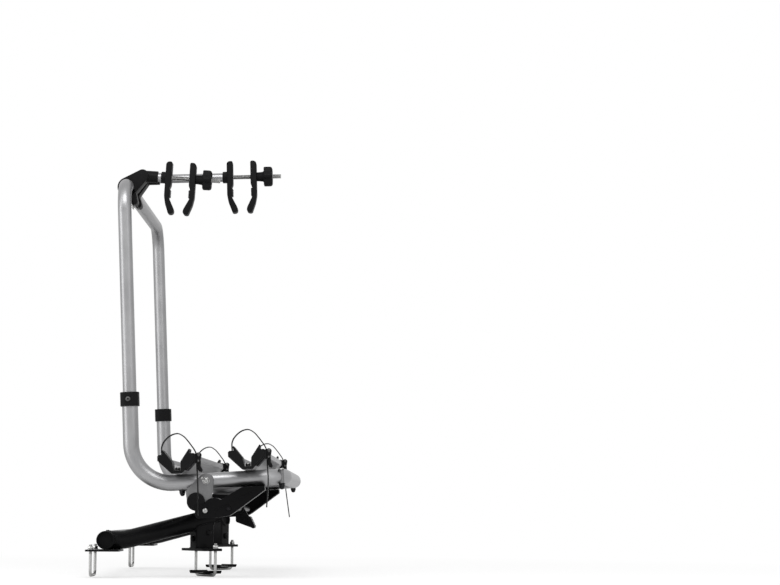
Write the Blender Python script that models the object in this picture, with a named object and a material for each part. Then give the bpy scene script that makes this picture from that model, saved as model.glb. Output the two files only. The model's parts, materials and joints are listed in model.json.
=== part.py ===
"""Caravan bike carrier.

A black steel base stands on four plates with a U-bolt each. A silver aluminium frame
tilts forward on the base's cross tube. It carries two V-shaped wheel rails with sliding wheel
supports, and two holder arms on the bar at the top of its hoop.

Metres, +Z up, +X forward (towards the tow vehicle), +Y to the left. The origin lies on the centre
line, on the plane of the base's feet, straight under the tilt axis.
"""
import math

import bmesh
import bpy
from mathutils import Matrix, Vector

# Play between pieces that touch, and metal thicknesses
GAP = 0.0003
PLATE_THICKNESS = 0.004
PRESSING_THICKNESS = 0.003

# Splay of the base, and the room inside its U-bolts
DRAWBAR_HALF_ANGLE = math.radians(30)
DRAWBAR_HEIGHT = 0.048
DRAWBAR_WIDTH = 0.060

# Base tubes and posts
BASE_TUBE_DIAMETER = 0.040
REAR_TUBE_X = -0.198
REAR_TUBE_HALF_LENGTH = 0.440
DIAGONAL_SLOPE = math.radians(15.1)
DIAGONAL_KNEE_X = -0.161
DIAGONAL_KNEE_RADIUS = 0.120
DIAGONAL_FRONT_X = 0.022
POST_X = 0.0035
POST_Y = 0.300
POST_LENGTH = 0.044
POST_WIDTH = 0.036
POST_WALL = 0.003
FOOT_LENGTH = 0.050
FOOT_WIDTH = 0.118
FOOT_THICKNESS = 0.0056
POST_BOLT_HEIGHT = 0.027

# U-bolts and saddles
U_ROD_DIAMETER = 0.0065
U_BEND_RADIUS = 0.012
U_NUT_FLATS = 0.011
U_NUT_HEIGHT = 0.006
U_THREAD_BEYOND_NUT = 0.005
FRONT_U_SPACING = 0.098
FRONT_U_FORWARD = 0.010
CLAMP_PLATE_LENGTH = 0.044
CLAMP_PLATE_THICKNESS = 0.0025
REAR_U_SPACING = 0.090
REAR_U_BEHIND_TUBE = 0.0275
SADDLE_LENGTH = 0.074
SADDLE_MARGIN = 0.012

# Cross tube that the platform tilts on
CROSS_TUBE_DIAMETER = 0.030
CROSS_TUBE_WALL = 0.003
CROSS_TUBE_BORE_DEPTH = 0.025
CRADLE_HEIGHT = 0.005
CRADLE_WIDTH = 0.030
CAP_RADIUS = 0.0198
CAP_THICKNESS = 0.003
CAP_PLUG_LENGTH = 0.012
CATCH_THICKNESS = 0.006
CATCH_EYE_WALL = 0.005
CATCH_NOTCH_DEPTH = 0.005

# Platform and hoop, in the platform's own directions from the tilt axis
PLATFORM_RISE = math.radians(3.75)
LEG_LEAN = math.radians(2.5)
PLATFORM_HEIGHT = 0.044
FRAME_TUBE_DIAMETER = 0.035
FRAME_HALF_WIDTH = 0.435
HEEL_X = -0.139
HEEL_RADIUS = 0.089
FRONT_BAR_X = 0.1923
FRONT_CORNER_RADIUS = 0.060
JOINT_HEIGHT = 0.233
HOOP_TUBE_DIAMETER = 0.030
HOOP_BAR_HEIGHT = 0.715
HOOP_CORNER_RADIUS = 0.060
SPIGOT_LENGTH = 0.055
COLLAR_LENGTH = 0.041
COLLAR_HEIGHT = 0.031
COLLAR_WALL = 0.003

# Hinge plates, support arms and their bolts
HINGE_TOP = (0.0245, 0.017)
HINGE_SHOULDER = (-0.0125, 0.0205, 0.0085)
HINGE_EYE_RADIUS = 0.0194
HINGE_FOOT = (0.0197, -0.0209, 0.0105)
BOLT_DIAMETER = 0.008
BOLT_FLATS = 0.013
BOLT_HEAD_HEIGHT = 0.005
ARM_REAR_X = -0.002
ARM_BOTTOM = -0.037
ARM_REAR_TOP = -0.0065
ARM_HUMP = (0.040, -0.021, 0.027)
ARM_BEND_X = 0.066
ARM_SLOPE = math.radians(33)
ARM_FRONT_X = 0.152
ARM_FRONT_DEPTH = 0.010
ARM_FLANGE_START_X = 0.038

# Latch shaft, pedal and spring
LATCH_SHAFT_DIAMETER = 0.012
LATCH_X = 0.0709
LATCH_Z = -0.0195
HOOK_PIN_RISE = 0.025
HOOK_PIN_DIAMETER = 0.008
PEDAL_BOSS_RADIUS = 0.011
PEDAL_BOSS_HALF_WIDTH = 0.014
PEDAL_TIP = (0.0310, -0.0440, 0.004)
PEDAL_ROOT = (-0.0055, -0.0270, 0.005)
PEDAL_WEB_HALF_WIDTH = 0.008
PEDAL_PAD_HALF_WIDTH = 0.032
CHEEK_THICKNESS = 0.004
SPRING_WIRE = 0.002
SPRING_TURNS = 5
SPRING_POINTS_PER_TURN = 8
SPRING_PITCH = 0.0027
SPRING_LEG = 0.015

# Wheel rails and supports
RAIL_X = (-0.030, 0.1215)
RAIL_HALF_LENGTH = 0.562
RAIL_WALL = 0.0025
RAIL_HALF_FLOOR = 0.0115
RAIL_HALF_TOP = 0.038
RAIL_HEIGHT = 0.038
SUPPORT_FROM_RAIL_END = 0.027
SUPPORT_HALF_LENGTH = 0.030
SUPPORT_TOP = 0.0415
SUPPORT_FLOOR = 0.0035
TROUGH_HALF_FLOOR = 0.0078
TROUGH_HALF_TOP = 0.0090
TROUGH_TOP = 0.025
FINGER_TOP = 0.0515
FINGER_HALF_GAP = 0.0270
FINGER_THICKNESS = 0.0028
WRAP_WALL = 0.002
SKIRT_LOW = 0.006
SKIRT_THICKNESS = 0.0045
CAP_NUT_HEIGHT = 0.013

# Wheel straps and their ratchet levers
STRAP_HALF_WIDTH = 0.009
STRAP_THICKNESS = 0.0024
STRAP_SLOT_X = 0.0325
STRAP_LOOP_TOP = 0.0855
LEVER_PIN_X = 0.0470
LEVER_PIN_Z = 0.0375
LEVER_LENGTH = 0.036
LEVER_HALF_WIDTH = 0.0118
LEVER_PIN_DIAMETER = 0.004
LUG_THICKNESS = 0.0025

# Holder arms, in each arm's own directions from the hoop bar's axis
ARM_FROM_SIDE = {"short": 0.095, "long": 0.165}
ARM_RISE = {"short": math.radians(-3.2), "long": math.radians(1.8)}
ARM_LIFT = 0.029
JAW_X = {"short": 0.097, "long": 0.234}
ARM_TUBE_DIAMETER = 0.020
CLAMP_HALF_WIDTH = 0.020
CLAMP_WALL = 0.007
CLAMP_NOSE_X = 0.032
CLAMP_NOSE_RADIUS = 0.0135
CLAMP_EAR_TOP = (0.006, -0.006, 0.012)
CLAMP_EAR_FOOT = (0.017, -0.031, 0.008)
CLAMP_SPLIT = 0.0016
CLAMP_SPLIT_TOP = (0.004, -0.010)
CLAMP_SPLIT_FOOT = (0.0195, -0.045)
CLAMP_BOLT_X = 0.0145
CLAMP_BOLT_Z = -0.029
CLAMP_BOLT_SLOPE = math.radians(24)
CLAMP_BOLT_DIAMETER = 0.006
CLAMP_BOLT_HEAD_DIAMETER = 0.012
CLAMP_BOLT_HALF_LENGTH = 0.009
CLAMP_HEAD_TOP = 0.0145
CLAMP_HEAD_SEAT = 0.006
CLAMP_HEAD_ROUNDING = 0.002
ARM_TUBE_FROM_HOOP = 0.010
SOCKET_START = 0.018
SOCKET_WALL = 0.003
SOCKET_LENGTH = 0.066
SOCKET_LIP = 0.002
SOCKET_LIP_DEPTH = 0.0015
JAW_OPENING = 0.040
JAW_HALF_WIDTH = 0.016
JAW_THICKNESS = 0.014
JAW_RISE = 0.036
JAW_REACH = 0.083
JAW_TIP_LENGTH = 0.028
JAW_TIP_INWARD = 0.010
JAW_GRIP_DEPTH = 0.004
JAW_BOSS_LENGTH = 0.024
SCREW_DIAMETER = 0.010
KNOB_RADIUS = 0.024
KNOB_NECK = 0.016
KNOB_THICKNESS = 0.020
KNOB_LOBES = 6

# Worked out from the sizes above
BASE_RADIUS = BASE_TUBE_DIAMETER / 2
FRAME_RADIUS = FRAME_TUBE_DIAMETER / 2
HOOP_RADIUS = HOOP_TUBE_DIAMETER / 2
CROSS_RADIUS = CROSS_TUBE_DIAMETER / 2
BOLT_RADIUS = BOLT_DIAMETER / 2
REAR_TUBE_Z = PLATE_THICKNESS + GAP + BASE_RADIUS
SIDES = {"right": -1, "left": 1}


def diagonal_height(x):
    """Height of a diagonal tube's axis in its straight stretch."""
    return REAR_TUBE_Z + (x - DIAGONAL_KNEE_X) * math.tan(DIAGONAL_SLOPE)


def drawbar_y(x):
    """Distance of a foot's or a diagonal tube's middle from the centre line."""
    return POST_Y + (POST_X - x) * math.tan(DRAWBAR_HALF_ANGLE)


CROSS_TUBE_CLEARANCE = BASE_RADIUS + CROSS_RADIUS + CRADLE_HEIGHT
TILT_AXIS_Z = diagonal_height(0) + CROSS_TUBE_CLEARANCE / math.cos(DIAGONAL_SLOPE)
PLATE_INNER_Y = FRAME_HALF_WIDTH + FRAME_RADIUS + GAP
PLATE_OUTER_Y = PLATE_INNER_Y + PLATE_THICKNESS
CROSS_TUBE_HALF_LENGTH = PLATE_OUTER_Y + 0.002
CAP_OUTER_Y = CROSS_TUBE_HALF_LENGTH + GAP + CAP_THICKNESS
WEB_INNER_Y = CAP_OUTER_Y + GAP
WEB_OUTER_Y = WEB_INNER_Y + PRESSING_THICKNESS
LEG_TILT = PLATFORM_RISE - LEG_LEAN
RAIL_BASE = PLATFORM_HEIGHT + FRAME_RADIUS + GAP
SUPPORT_Y = RAIL_HALF_LENGTH - SUPPORT_FROM_RAIL_END
SPRING_SEAT = LATCH_SHAFT_DIAMETER / 2 + SPRING_WIRE / 2 + GAP
SPRING_RADIUS = SPRING_SEAT / math.cos(math.pi / SPRING_POINTS_PER_TURN)
ARM_TUBE_START = HOOP_RADIUS + ARM_TUBE_FROM_HOOP


def leg_x(height):
    """Place of a leg's axis at a height above the tilt axis, in the platform's directions."""
    return HEEL_X + (height - PLATFORM_HEIGHT) * math.tan(LEG_TILT)


# Paths and outlines

def filleted(corners, radii, steps):
    """Path through the corners, each inner one rounded to its radius in so many steps."""
    corners = [Vector(corner) for corner in corners]
    path = [corners[0]]
    for before, corner, after, radius in zip(corners, corners[1:], corners[2:], radii):
        arriving = (corner - before).normalized()
        leaving = (after - corner).normalized()
        turn = arriving.angle(leaving)
        axis = arriving.cross(leaving).normalized()
        start = corner - arriving * radius * math.tan(turn / 2)
        centre = start + axis.cross(arriving) * radius
        for step in range(steps + 1):
            path.append(centre + Matrix.Rotation(turn * step / steps, 3, axis) @ (start - centre))
    path.append(corners[-1])
    return path


def spline(points, steps):
    """Smooth curve through points in a plane."""
    points = [Vector(point) for point in points]
    ends = [2 * points[0] - points[1]] + points + [2 * points[-1] - points[-2]]
    curve = []
    for a, b, c, d in zip(ends, ends[1:], ends[2:], ends[3:]):
        for step in range(steps):
            t = step / steps
            curve.append(0.5 * (2 * b + (c - a) * t + (2 * a - 5 * b + 4 * c - d) * t ** 2
                                + (3 * b - a - 3 * c + d) * t ** 3))
    curve.append(points[-1])
    return curve


def circle(x, z, radius, count=16):
    """Points of a circle in a plane."""
    turns = [2 * math.pi * k / count for k in range(count)]
    return [(x + radius * math.cos(turn), z + radius * math.sin(turn)) for turn in turns]


def arc(x, z, radius, start, end, steps):
    """Points of an arc in a plane, angles in degrees."""
    turns = [math.radians(start + (end - start) * k / steps) for k in range(steps + 1)]
    return [(x + radius * math.cos(turn), z + radius * math.sin(turn)) for turn in turns]


def hull(*circles, count=16):
    """Outline of a band stretched round circles, each given as (x, z, radius)."""
    points = sorted(point for x, z, radius in circles for point in circle(x, z, radius, count))

    def side(candidates):
        chain = []
        for point in candidates:
            while len(chain) > 1 and turns_right(chain[-2], chain[-1], point):
                chain.pop()
            chain.append(point)
        return chain[:-1]

    return side(points) + side(reversed(points))


def turns_right(a, b, c):
    """Whether the way from a by b to c doesn't turn left."""
    return (b[0] - a[0]) * (c[1] - a[1]) - (b[1] - a[1]) * (c[0] - a[0]) <= 1e-12


def inset(outline, distance):
    """Outline moved inwards by a distance, for points that run anticlockwise."""
    moved = []
    for before, point, after in zip(outline[-1:] + outline[:-1], outline, outline[1:] + outline[:1]):
        before, point, after = Vector(before), Vector(point), Vector(after)
        first = (point - before).normalized()
        second = (after - point).normalized()
        normal = (Vector((-first.y, first.x)) + Vector((-second.y, second.x))).normalized()
        reach = distance / max(normal.dot(Vector((-first.y, first.x))), 0.3)
        moved.append(tuple(point + normal * reach))
    return moved


def rectangle(x_low, x_high, z_low, z_high):
    """Outline of a rectangle."""
    return [(x_low, z_low), (x_high, z_low), (x_high, z_high), (x_low, z_high)]


def rounded_rectangle(half_x, half_z, radius, steps=3):
    """Outline of a rectangle round the middle, with round corners."""
    outline = []
    for x, z, start in ((1, -1, -90), (1, 1, 0), (-1, 1, 90), (-1, -1, 180)):
        outline += arc(x * (half_x - radius), z * (half_z - radius), radius, start, start + 90, steps)
    return outline


# Bodies

PLANES = {
    "XZ": lambda u, v, w: (u, w, v),
    "XY": lambda u, v, w: (u, v, w),
    "YZ": lambda u, v, w: (w, u, v),
}


def prism(outline, low, high, plane="XZ"):
    """Closed body of an outline drawn in a plane, from low to high across it."""
    shape = bmesh.new()
    place = PLANES[plane]
    bottom = [shape.verts.new(place(u, v, low)) for u, v in outline]
    top = [shape.verts.new(place(u, v, high)) for u, v in outline]
    shape.faces.new(bottom)
    shape.faces.new(reversed(top))
    for k, vertex in enumerate(bottom):
        shape.faces.new((bottom[k - 1], top[k - 1], top[k], vertex))
    bmesh.ops.recalc_face_normals(shape, faces=shape.faces)
    return shape


def section(centre, side, up, radius, corners, count):
    """Points of a round section, or of one with flats when it has corners."""
    points = []
    for k in range(count):
        turn = 2 * math.pi * k / count
        reach = radius
        if corners:
            sector = 2 * math.pi / corners
            reach = radius / math.cos(turn % sector - sector / 2)
        points.append(centre + (side * math.cos(turn) + up * math.sin(turn)) * reach)
    return points


def sweep(stations, count=12):
    """Closed body through stations (point, radius) or (point, radius, corners) along a path."""
    points = [Vector(station[0]) for station in stations]
    directions = []
    for k, point in enumerate(points):
        before = next((p for p in reversed(points[:k]) if (p - point).length > 1e-7), None)
        after = next((p for p in points[k + 1:] if (p - point).length > 1e-7), None)
        arriving = (point - before).normalized() if before else Vector()
        leaving = (after - point).normalized() if after else Vector()
        directions.append((arriving + leaving).normalized())
    helper = Vector((0, 1, 0)) if abs(directions[0].y) < 0.9 else Vector((1, 0, 0))
    side = (helper - directions[0] * helper.dot(directions[0])).normalized()
    shape = bmesh.new()
    rings = []
    for k, station in enumerate(stations):
        if k:
            side = directions[k - 1].rotation_difference(directions[k]) @ side
        up = directions[k].cross(side)
        corners = station[2] if len(station) > 2 else 0
        ring = section(points[k], side, up, station[1], corners, count)
        rings.append([shape.verts.new(point) for point in ring])
    for a, b in zip(rings, rings[1:]):
        for k in range(count):
            shape.faces.new((a[k - 1], a[k], b[k], b[k - 1]))
    shape.faces.new(reversed(rings[0]))
    shape.faces.new(rings[-1])
    bmesh.ops.recalc_face_normals(shape, faces=shape.faces)
    return shape


def rod(start, end, radius, count=12):
    """Plain round bar between two points."""
    return sweep([(start, radius), (end, radius)], count)


def joined(*shapes):
    """Several closed bodies as one mesh, for cutting many holes at once."""
    together = bmesh.new()
    for shape in shapes:
        mesh = bpy.data.meshes.new("joined")
        shape.to_mesh(mesh)
        shape.free()
        together.from_mesh(mesh)
        bpy.data.meshes.remove(mesh)
    return together


def bolt(under_head, direction, grip, head=BOLT_HEAD_HEIGHT, spacer=0.0, spacer_at=0.0):
    """Hexagon bolt and nut: the head sits at under_head, the nut past the grip along direction."""
    direction = Vector(direction).normalized()
    start = Vector(under_head)
    chamfer = head * 0.2

    def at(distance):
        return start + direction * distance

    stations = [
        (at(-head), BOLT_FLATS / 2 - chamfer, 0),
        (at(-head + chamfer), BOLT_FLATS / 2, 6),
        (at(0), BOLT_FLATS / 2, 6),
        (at(0), BOLT_RADIUS),
    ]
    if spacer:
        stations += [
            (at(spacer_at), BOLT_RADIUS),
            (at(spacer_at), BOLT_RADIUS + 0.003),
            (at(spacer_at + spacer), BOLT_RADIUS + 0.003),
            (at(spacer_at + spacer), BOLT_RADIUS),
        ]
    stations += [
        (at(grip), BOLT_RADIUS),
        (at(grip), BOLT_FLATS / 2, 6),
        (at(grip + head - chamfer), BOLT_FLATS / 2, 6),
        (at(grip + head), BOLT_FLATS / 2 - chamfer, 0),
        (at(grip + head), BOLT_RADIUS * 0.9),
        (at(grip + head + chamfer), BOLT_RADIUS * 0.9),
    ]
    return sweep(stations)


def cap_nut_bolt(top, grip):
    """Low round head on top, shank straight down, dome cap nut below the grip."""
    top = Vector(top)

    def at(depth):
        return top - Vector((0, 0, depth))

    return sweep([
        (at(-0.0028), 0.0036),
        (at(0), 0.0062),
        (at(0), BOLT_RADIUS),
        (at(grip), BOLT_RADIUS),
        (at(grip), BOLT_FLATS / 2, 6),
        (at(grip + CAP_NUT_HEIGHT * 0.45), BOLT_FLATS / 2, 6),
        (at(grip + CAP_NUT_HEIGHT * 0.5), 0.0055),
        (at(grip + CAP_NUT_HEIGHT * 0.8), 0.0047),
        (at(grip + CAP_NUT_HEIGHT), 0.0022),
    ])


# Scene objects

def material(name, colour, roughness, metallic):
    """Plain Principled finish."""
    finish = bpy.data.materials.new(name)
    finish.use_nodes = True
    shader = finish.node_tree.nodes["Principled BSDF"]
    shader.inputs["Base Color"].default_value = (*colour, 1)
    shader.inputs["Roughness"].default_value = roughness
    shader.inputs["Metallic"].default_value = metallic
    return finish


def put(name, data, parent=None, location=(0, 0, 0), tilt=0.0):
    """Object in the scene, at a place and a turn about Y in its parent's directions."""
    thing = bpy.data.objects.new(name, data)
    bpy.context.scene.collection.objects.link(thing)
    thing.parent = parent
    thing.location = location
    thing.rotation_euler = (0, tilt, 0)
    return thing


def mesh_of(name, shape):
    """Blender mesh of a shape, round where it is round."""
    mesh = bpy.data.meshes.new(name)
    shape.to_mesh(mesh)
    shape.free()
    mesh.shade_smooth()
    mesh.set_sharp_from_angle(angle=math.radians(35))
    return mesh


def piece(name, shape, finish, parent=None, location=(0, 0, 0), tilt=0.0):
    """Named sub-part with its finish."""
    mesh = mesh_of(name, shape)
    mesh.materials.append(finish)
    return put(name, mesh, parent, location, tilt)


def combine(target, shape, operation):
    """Boolean of a piece with a helper shape given in the piece's own directions."""
    helper = put(f"{target.name}_{operation.lower()}", mesh_of("helper", shape), target)
    helper.hide_render = True
    helper.display_type = "WIRE"
    modifier = target.modifiers.new(operation.title(), "BOOLEAN")
    modifier.operation = operation
    modifier.solver = "EXACT"
    modifier.object = helper


def cut(target, *shapes):
    """Take shapes away from a piece."""
    combine(target, joined(*shapes), "DIFFERENCE")


def fuse(target, *shapes):
    """Weld shapes onto a piece."""
    for shape in shapes:
        combine(target, shape, "UNION")


# Base

def diagonal_path(side):
    """Axis of a diagonal tube: level behind, then rising forward and inward."""
    def corner(x, z):
        return (x, side * drawbar_y(x), z)

    corners = [
        corner(REAR_TUBE_X, REAR_TUBE_Z),
        corner(DIAGONAL_KNEE_X, REAR_TUBE_Z),
        corner(DIAGONAL_FRONT_X, diagonal_height(DIAGONAL_FRONT_X)),
    ]
    return filleted(corners, [DIAGONAL_KNEE_RADIUS], 4)


def turned_about(shape, place, angle):
    """Shape turned about the vertical and moved to its place."""
    matrix = Matrix.Translation(place) @ Matrix.Rotation(angle, 4, "Z")
    bmesh.ops.transform(shape, matrix=matrix, verts=shape.verts)
    return shape


def make_rear_cross_tube(black):
    ends = REAR_TUBE_HALF_LENGTH
    recess = 0.008
    place = (REAR_TUBE_X, 0, REAR_TUBE_Z)
    tube = piece("rear_cross_tube", rod((0, -ends, 0), (0, ends, 0), BASE_RADIUS, 24), black,
                 location=place)
    bore = BASE_RADIUS - PRESSING_THICKNESS
    cut(tube, *(rod((0, side * (ends - recess), 0), (0, side * (ends + recess), 0), bore, 24)
                for side in SIDES.values()))


def make_diagonal_tube(name, side, black):
    path = diagonal_path(side)
    tube = piece(f"diagonal_tube_{name}", sweep([(point, BASE_RADIUS) for point in path], 20), black)
    reach = Vector((0, REAR_TUBE_HALF_LENGTH, 0))
    middle = Vector((REAR_TUBE_X, 0, REAR_TUBE_Z))
    behind = rectangle(-3 * BASE_RADIUS, 0, -2 * BASE_RADIUS, 2 * BASE_RADIUS)
    rear_half = prism(behind, -REAR_TUBE_HALF_LENGTH, REAR_TUBE_HALF_LENGTH)
    bmesh.ops.translate(rear_half, vec=middle, verts=rear_half.verts)
    cut(tube, rear_half)
    cut(tube, rod(middle - reach * 1.1, middle + reach * 1.1, BASE_RADIUS + GAP, 24))
    seat = rectangle(-CROSS_RADIUS * 0.8, CROSS_RADIUS * 0.8, diagonal_height(0), TILT_AXIS_Z)
    y = side * drawbar_y(0)
    fuse(tube, prism(seat, y - CRADLE_WIDTH / 2, y + CRADLE_WIDTH / 2))
    across = Vector((0, CRADLE_WIDTH, 0))
    axis = Vector((0, y, TILT_AXIS_Z))
    cut(tube, rod(axis - across, axis + across, CROSS_RADIUS + GAP, 32))


def diagonal_axis(side, x):
    """Point of a diagonal tube's axis in its straight stretch, and the axis's direction."""
    point = Vector((x, side * drawbar_y(x), diagonal_height(x)))
    forward = Vector((1, -side * math.tan(DRAWBAR_HALF_ANGLE), math.tan(DIAGONAL_SLOPE)))
    return point, forward.normalized()


def make_front_post(name, side, black):
    """Box post coped to the diagonal tube, welded on its foot plate."""
    turn = -side * DRAWBAR_HALF_ANGLE
    place = Vector((POST_X, side * POST_Y, 0))
    foot_outline = rounded_rectangle(FOOT_LENGTH / 2, FOOT_WIDTH / 2, 0.008, 2)
    foot = turned_about(prism(foot_outline, 0, FOOT_THICKNESS, "XY"), place, turn)
    post = piece(f"front_post_{name}", foot, black)
    box = rounded_rectangle(POST_LENGTH / 2, POST_WIDTH / 2, 0.004, 2)
    inner = rounded_rectangle(POST_LENGTH / 2 - POST_WALL, POST_WIDTH / 2 - POST_WALL, 0.002, 1)
    top = diagonal_height(POST_X)
    fuse(post, turned_about(prism(box, FOOT_THICKNESS / 2, top, "XY"), place, turn))
    along = Vector((math.cos(turn), math.sin(turn), 0))
    across = Vector((-math.sin(turn), math.cos(turn), 0))
    start, forward = diagonal_axis(side, POST_X)
    tube_way = forward * 0.1
    cut(post, turned_about(prism(inner, FOOT_THICKNESS, top + 0.01, "XY"), place, turn))
    cut(post, rod(start - tube_way, start + tube_way, BASE_RADIUS + GAP, 24),
        *(rod(leg + Vector((0, 0, -0.01)), leg + Vector((0, 0, 0.02)), U_ROD_DIAMETER / 2 + GAP)
          for leg in u_bolt_legs(name, "front")))
    sunk = 0.0004
    bolt_place = place + Vector((0, 0, POST_BOLT_HEIGHT)) - along * (POST_LENGTH / 2 - sunk)
    fuse(post, bolt(bolt_place, along, POST_LENGTH - 2 * sunk))
    button = place + across * side * POST_WIDTH / 2 + along * 0.008 + Vector((0, 0, top - 0.028))
    out = across * side
    fuse(post, sweep([(button - out * 0.001, 0.0065), (button + out * 0.002, 0.0065),
                      (button + out * 0.0035, 0.0045)]))


def u_bolt_legs(name, end):
    """Places of a U-bolt's two legs on the plane of the feet, inner one first."""
    side = SIDES[name]
    if end == "front":
        turn = -side * DRAWBAR_HALF_ANGLE
        along = Vector((math.cos(turn), math.sin(turn), 0))
        outward = Vector((-math.sin(turn), math.cos(turn), 0)) * side
        middle = Vector((POST_X, side * POST_Y, 0)) + along * FRONT_U_FORWARD
        half = outward * FRONT_U_SPACING / 2
    else:
        x = REAR_TUBE_X - REAR_U_BEHIND_TUBE
        middle = Vector((x, side * drawbar_y(x), 0))
        half = Vector((0, side, 0)) * REAR_U_SPACING / 2
    return [middle - half, middle + half]


def make_u_bolt(name, end, plate_top, bottom, zinc):
    """U-bolt hanging under a foot, with a nut on each leg above the plate."""
    inner, outer = u_bolt_legs(name, end)
    radius = U_ROD_DIAMETER / 2
    low = Vector((0, 0, bottom - radius))

    def leg(place, upwards):
        heights = [
            (plate_top + GAP, radius, 0),
            (plate_top + GAP, U_NUT_FLATS / 2, 6),
            (plate_top + GAP + U_NUT_HEIGHT, U_NUT_FLATS / 2, 6),
            (plate_top + GAP + U_NUT_HEIGHT, radius, 0),
            (plate_top + GAP + U_NUT_HEIGHT + U_THREAD_BEYOND_NUT, radius, 0),
        ]
        ordered = heights if upwards else reversed(heights)
        return [(place + Vector((0, 0, z)), r, corners) for z, r, corners in ordered]

    nut_seat = Vector((0, 0, plate_top))
    path = filleted([inner + nut_seat, inner + low, outer + low, outer + nut_seat],
                    [U_BEND_RADIUS] * 2, 3)
    bend = [(point, radius, 0) for point in path[1:-1]]
    piece(f"{end}_u_bolt_{name}", sweep(leg(inner, False) + bend + leg(outer, True), 12), zinc)


def make_front_clamp_plate(name, side, black):
    """Clamp plate that a front U-bolt holds, with a turned-up lip on both long sides."""
    turn = -side * DRAWBAR_HALF_ANGLE
    inner, outer = u_bolt_legs(name, "front")
    half = (FRONT_U_SPACING - U_ROD_DIAMETER) / 2 - 2 * GAP - U_BEND_RADIUS
    top = -DRAWBAR_HEIGHT
    low = top - CLAMP_PLATE_THICKNESS
    outline = [(-half, low), (half, low), (half + 0.004, low + 0.004), (half + 0.004, low + 0.007),
               (half + 0.0015, low + 0.007), (half - 0.001, top), (-half + 0.001, top),
               (-half - 0.0015, low + 0.007), (-half - 0.004, low + 0.007),
               (-half - 0.004, low + 0.004)]
    plate = prism(outline, -CLAMP_PLATE_LENGTH / 2, CLAMP_PLATE_LENGTH / 2, "YZ")
    middle = (inner + outer) / 2
    piece(f"front_clamp_plate_{name}", turned_about(plate, middle, turn), black)


def make_rear_saddle(name, side, black):
    """Plate under the rear cross tube, drilled for the U-bolt behind the tube."""
    inner, outer = u_bolt_legs(name, "rear")
    x_low = inner.x - SADDLE_MARGIN
    x_middle = x_low + SADDLE_LENGTH / 2
    y_middle = (inner.y + outer.y) / 2
    outline = rounded_rectangle(SADDLE_LENGTH / 2, REAR_U_SPACING / 2 + SADDLE_MARGIN, 0.008, 2)
    plate = prism(outline, 0, PLATE_THICKNESS, "XY")
    bmesh.ops.translate(plate, vec=(x_middle, y_middle, 0), verts=plate.verts)
    saddle = piece(f"rear_saddle_{name}", plate, black)
    cut(saddle, *(rod(leg + Vector((0, 0, -0.01)), leg + Vector((0, 0, 0.02)),
                      U_ROD_DIAMETER / 2 + GAP) for leg in (inner, outer)))


def hook_pin_place():
    """The pedal's hook pin seen from the tilt axis: distance, and angle in the base's directions."""
    x, z = LATCH_X, LATCH_Z + HOOK_PIN_RISE
    return math.hypot(x, z), math.atan2(z, x) + PLATFORM_RISE


def make_cross_tube(black):
    """Tube that the platform tilts on."""
    ends = CROSS_TUBE_HALF_LENGTH
    tube = piece("hinge_cross_tube", rod((0, -ends, 0), (0, ends, 0), CROSS_RADIUS, 32), black,
                 location=(0, 0, TILT_AXIS_Z))
    bore = CROSS_RADIUS - CROSS_TUBE_WALL
    cut(tube, *(rod((0, side * (ends - CROSS_TUBE_BORE_DEPTH), 0), (0, side * (ends + 0.01), 0),
                    bore, 16) for side in SIDES.values()))


def make_catch_plate(black):
    """Plate round the middle of the cross tube, with a notch in its tip for the hook's pin."""
    pin_distance, pin_angle = hook_pin_place()
    edge = pin_distance - HOOK_PIN_DIAMETER / 2 - 2 * GAP
    pin_degrees = math.degrees(pin_angle)
    spread = math.degrees(HOOK_PIN_DIAMETER * 1.1 / edge)
    notch_half = math.degrees((HOOK_PIN_DIAMETER / 2 + GAP) / edge)
    outline = arc(0, 0, edge, pin_degrees - spread, pin_degrees - notch_half, 2)
    outline += arc(0, 0, edge - CATCH_NOTCH_DEPTH, pin_degrees - notch_half * 0.9,
                   pin_degrees + notch_half * 0.9, 2)
    outline += arc(0, 0, edge, pin_degrees + notch_half, pin_degrees + spread, 2)
    outline += arc(0, 0, CROSS_RADIUS + CATCH_EYE_WALL, pin_degrees + 75, pin_degrees + 285, 10)
    plate = piece("catch_plate", prism(outline, -CATCH_THICKNESS / 2, CATCH_THICKNESS / 2), black,
                  location=(0, 0, TILT_AXIS_Z))
    reach = CATCH_THICKNESS
    cut(plate, rod((0, -reach, 0), (0, reach, 0), CROSS_RADIUS + GAP, 24))


def make_cross_tube_cap(name, side, plastic):
    """Round end cap that keeps the hinge plate on the tube, with a plug inside it."""
    face = CROSS_TUBE_HALF_LENGTH + GAP
    plug = CROSS_RADIUS - CROSS_TUBE_WALL - 3 * GAP
    shape = sweep([
        ((0, side * (face - CAP_PLUG_LENGTH), 0), plug),
        ((0, side * face, 0), plug),
        ((0, side * face, 0), CAP_RADIUS),
        ((0, side * (face + CAP_THICKNESS * 0.6), 0), CAP_RADIUS),
        ((0, side * (face + CAP_THICKNESS), 0), CAP_RADIUS - 0.0015),
    ], 20)
    piece(f"cross_tube_cap_{name}", shape, plastic, location=(0, 0, TILT_AXIS_Z))


# Platform

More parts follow.
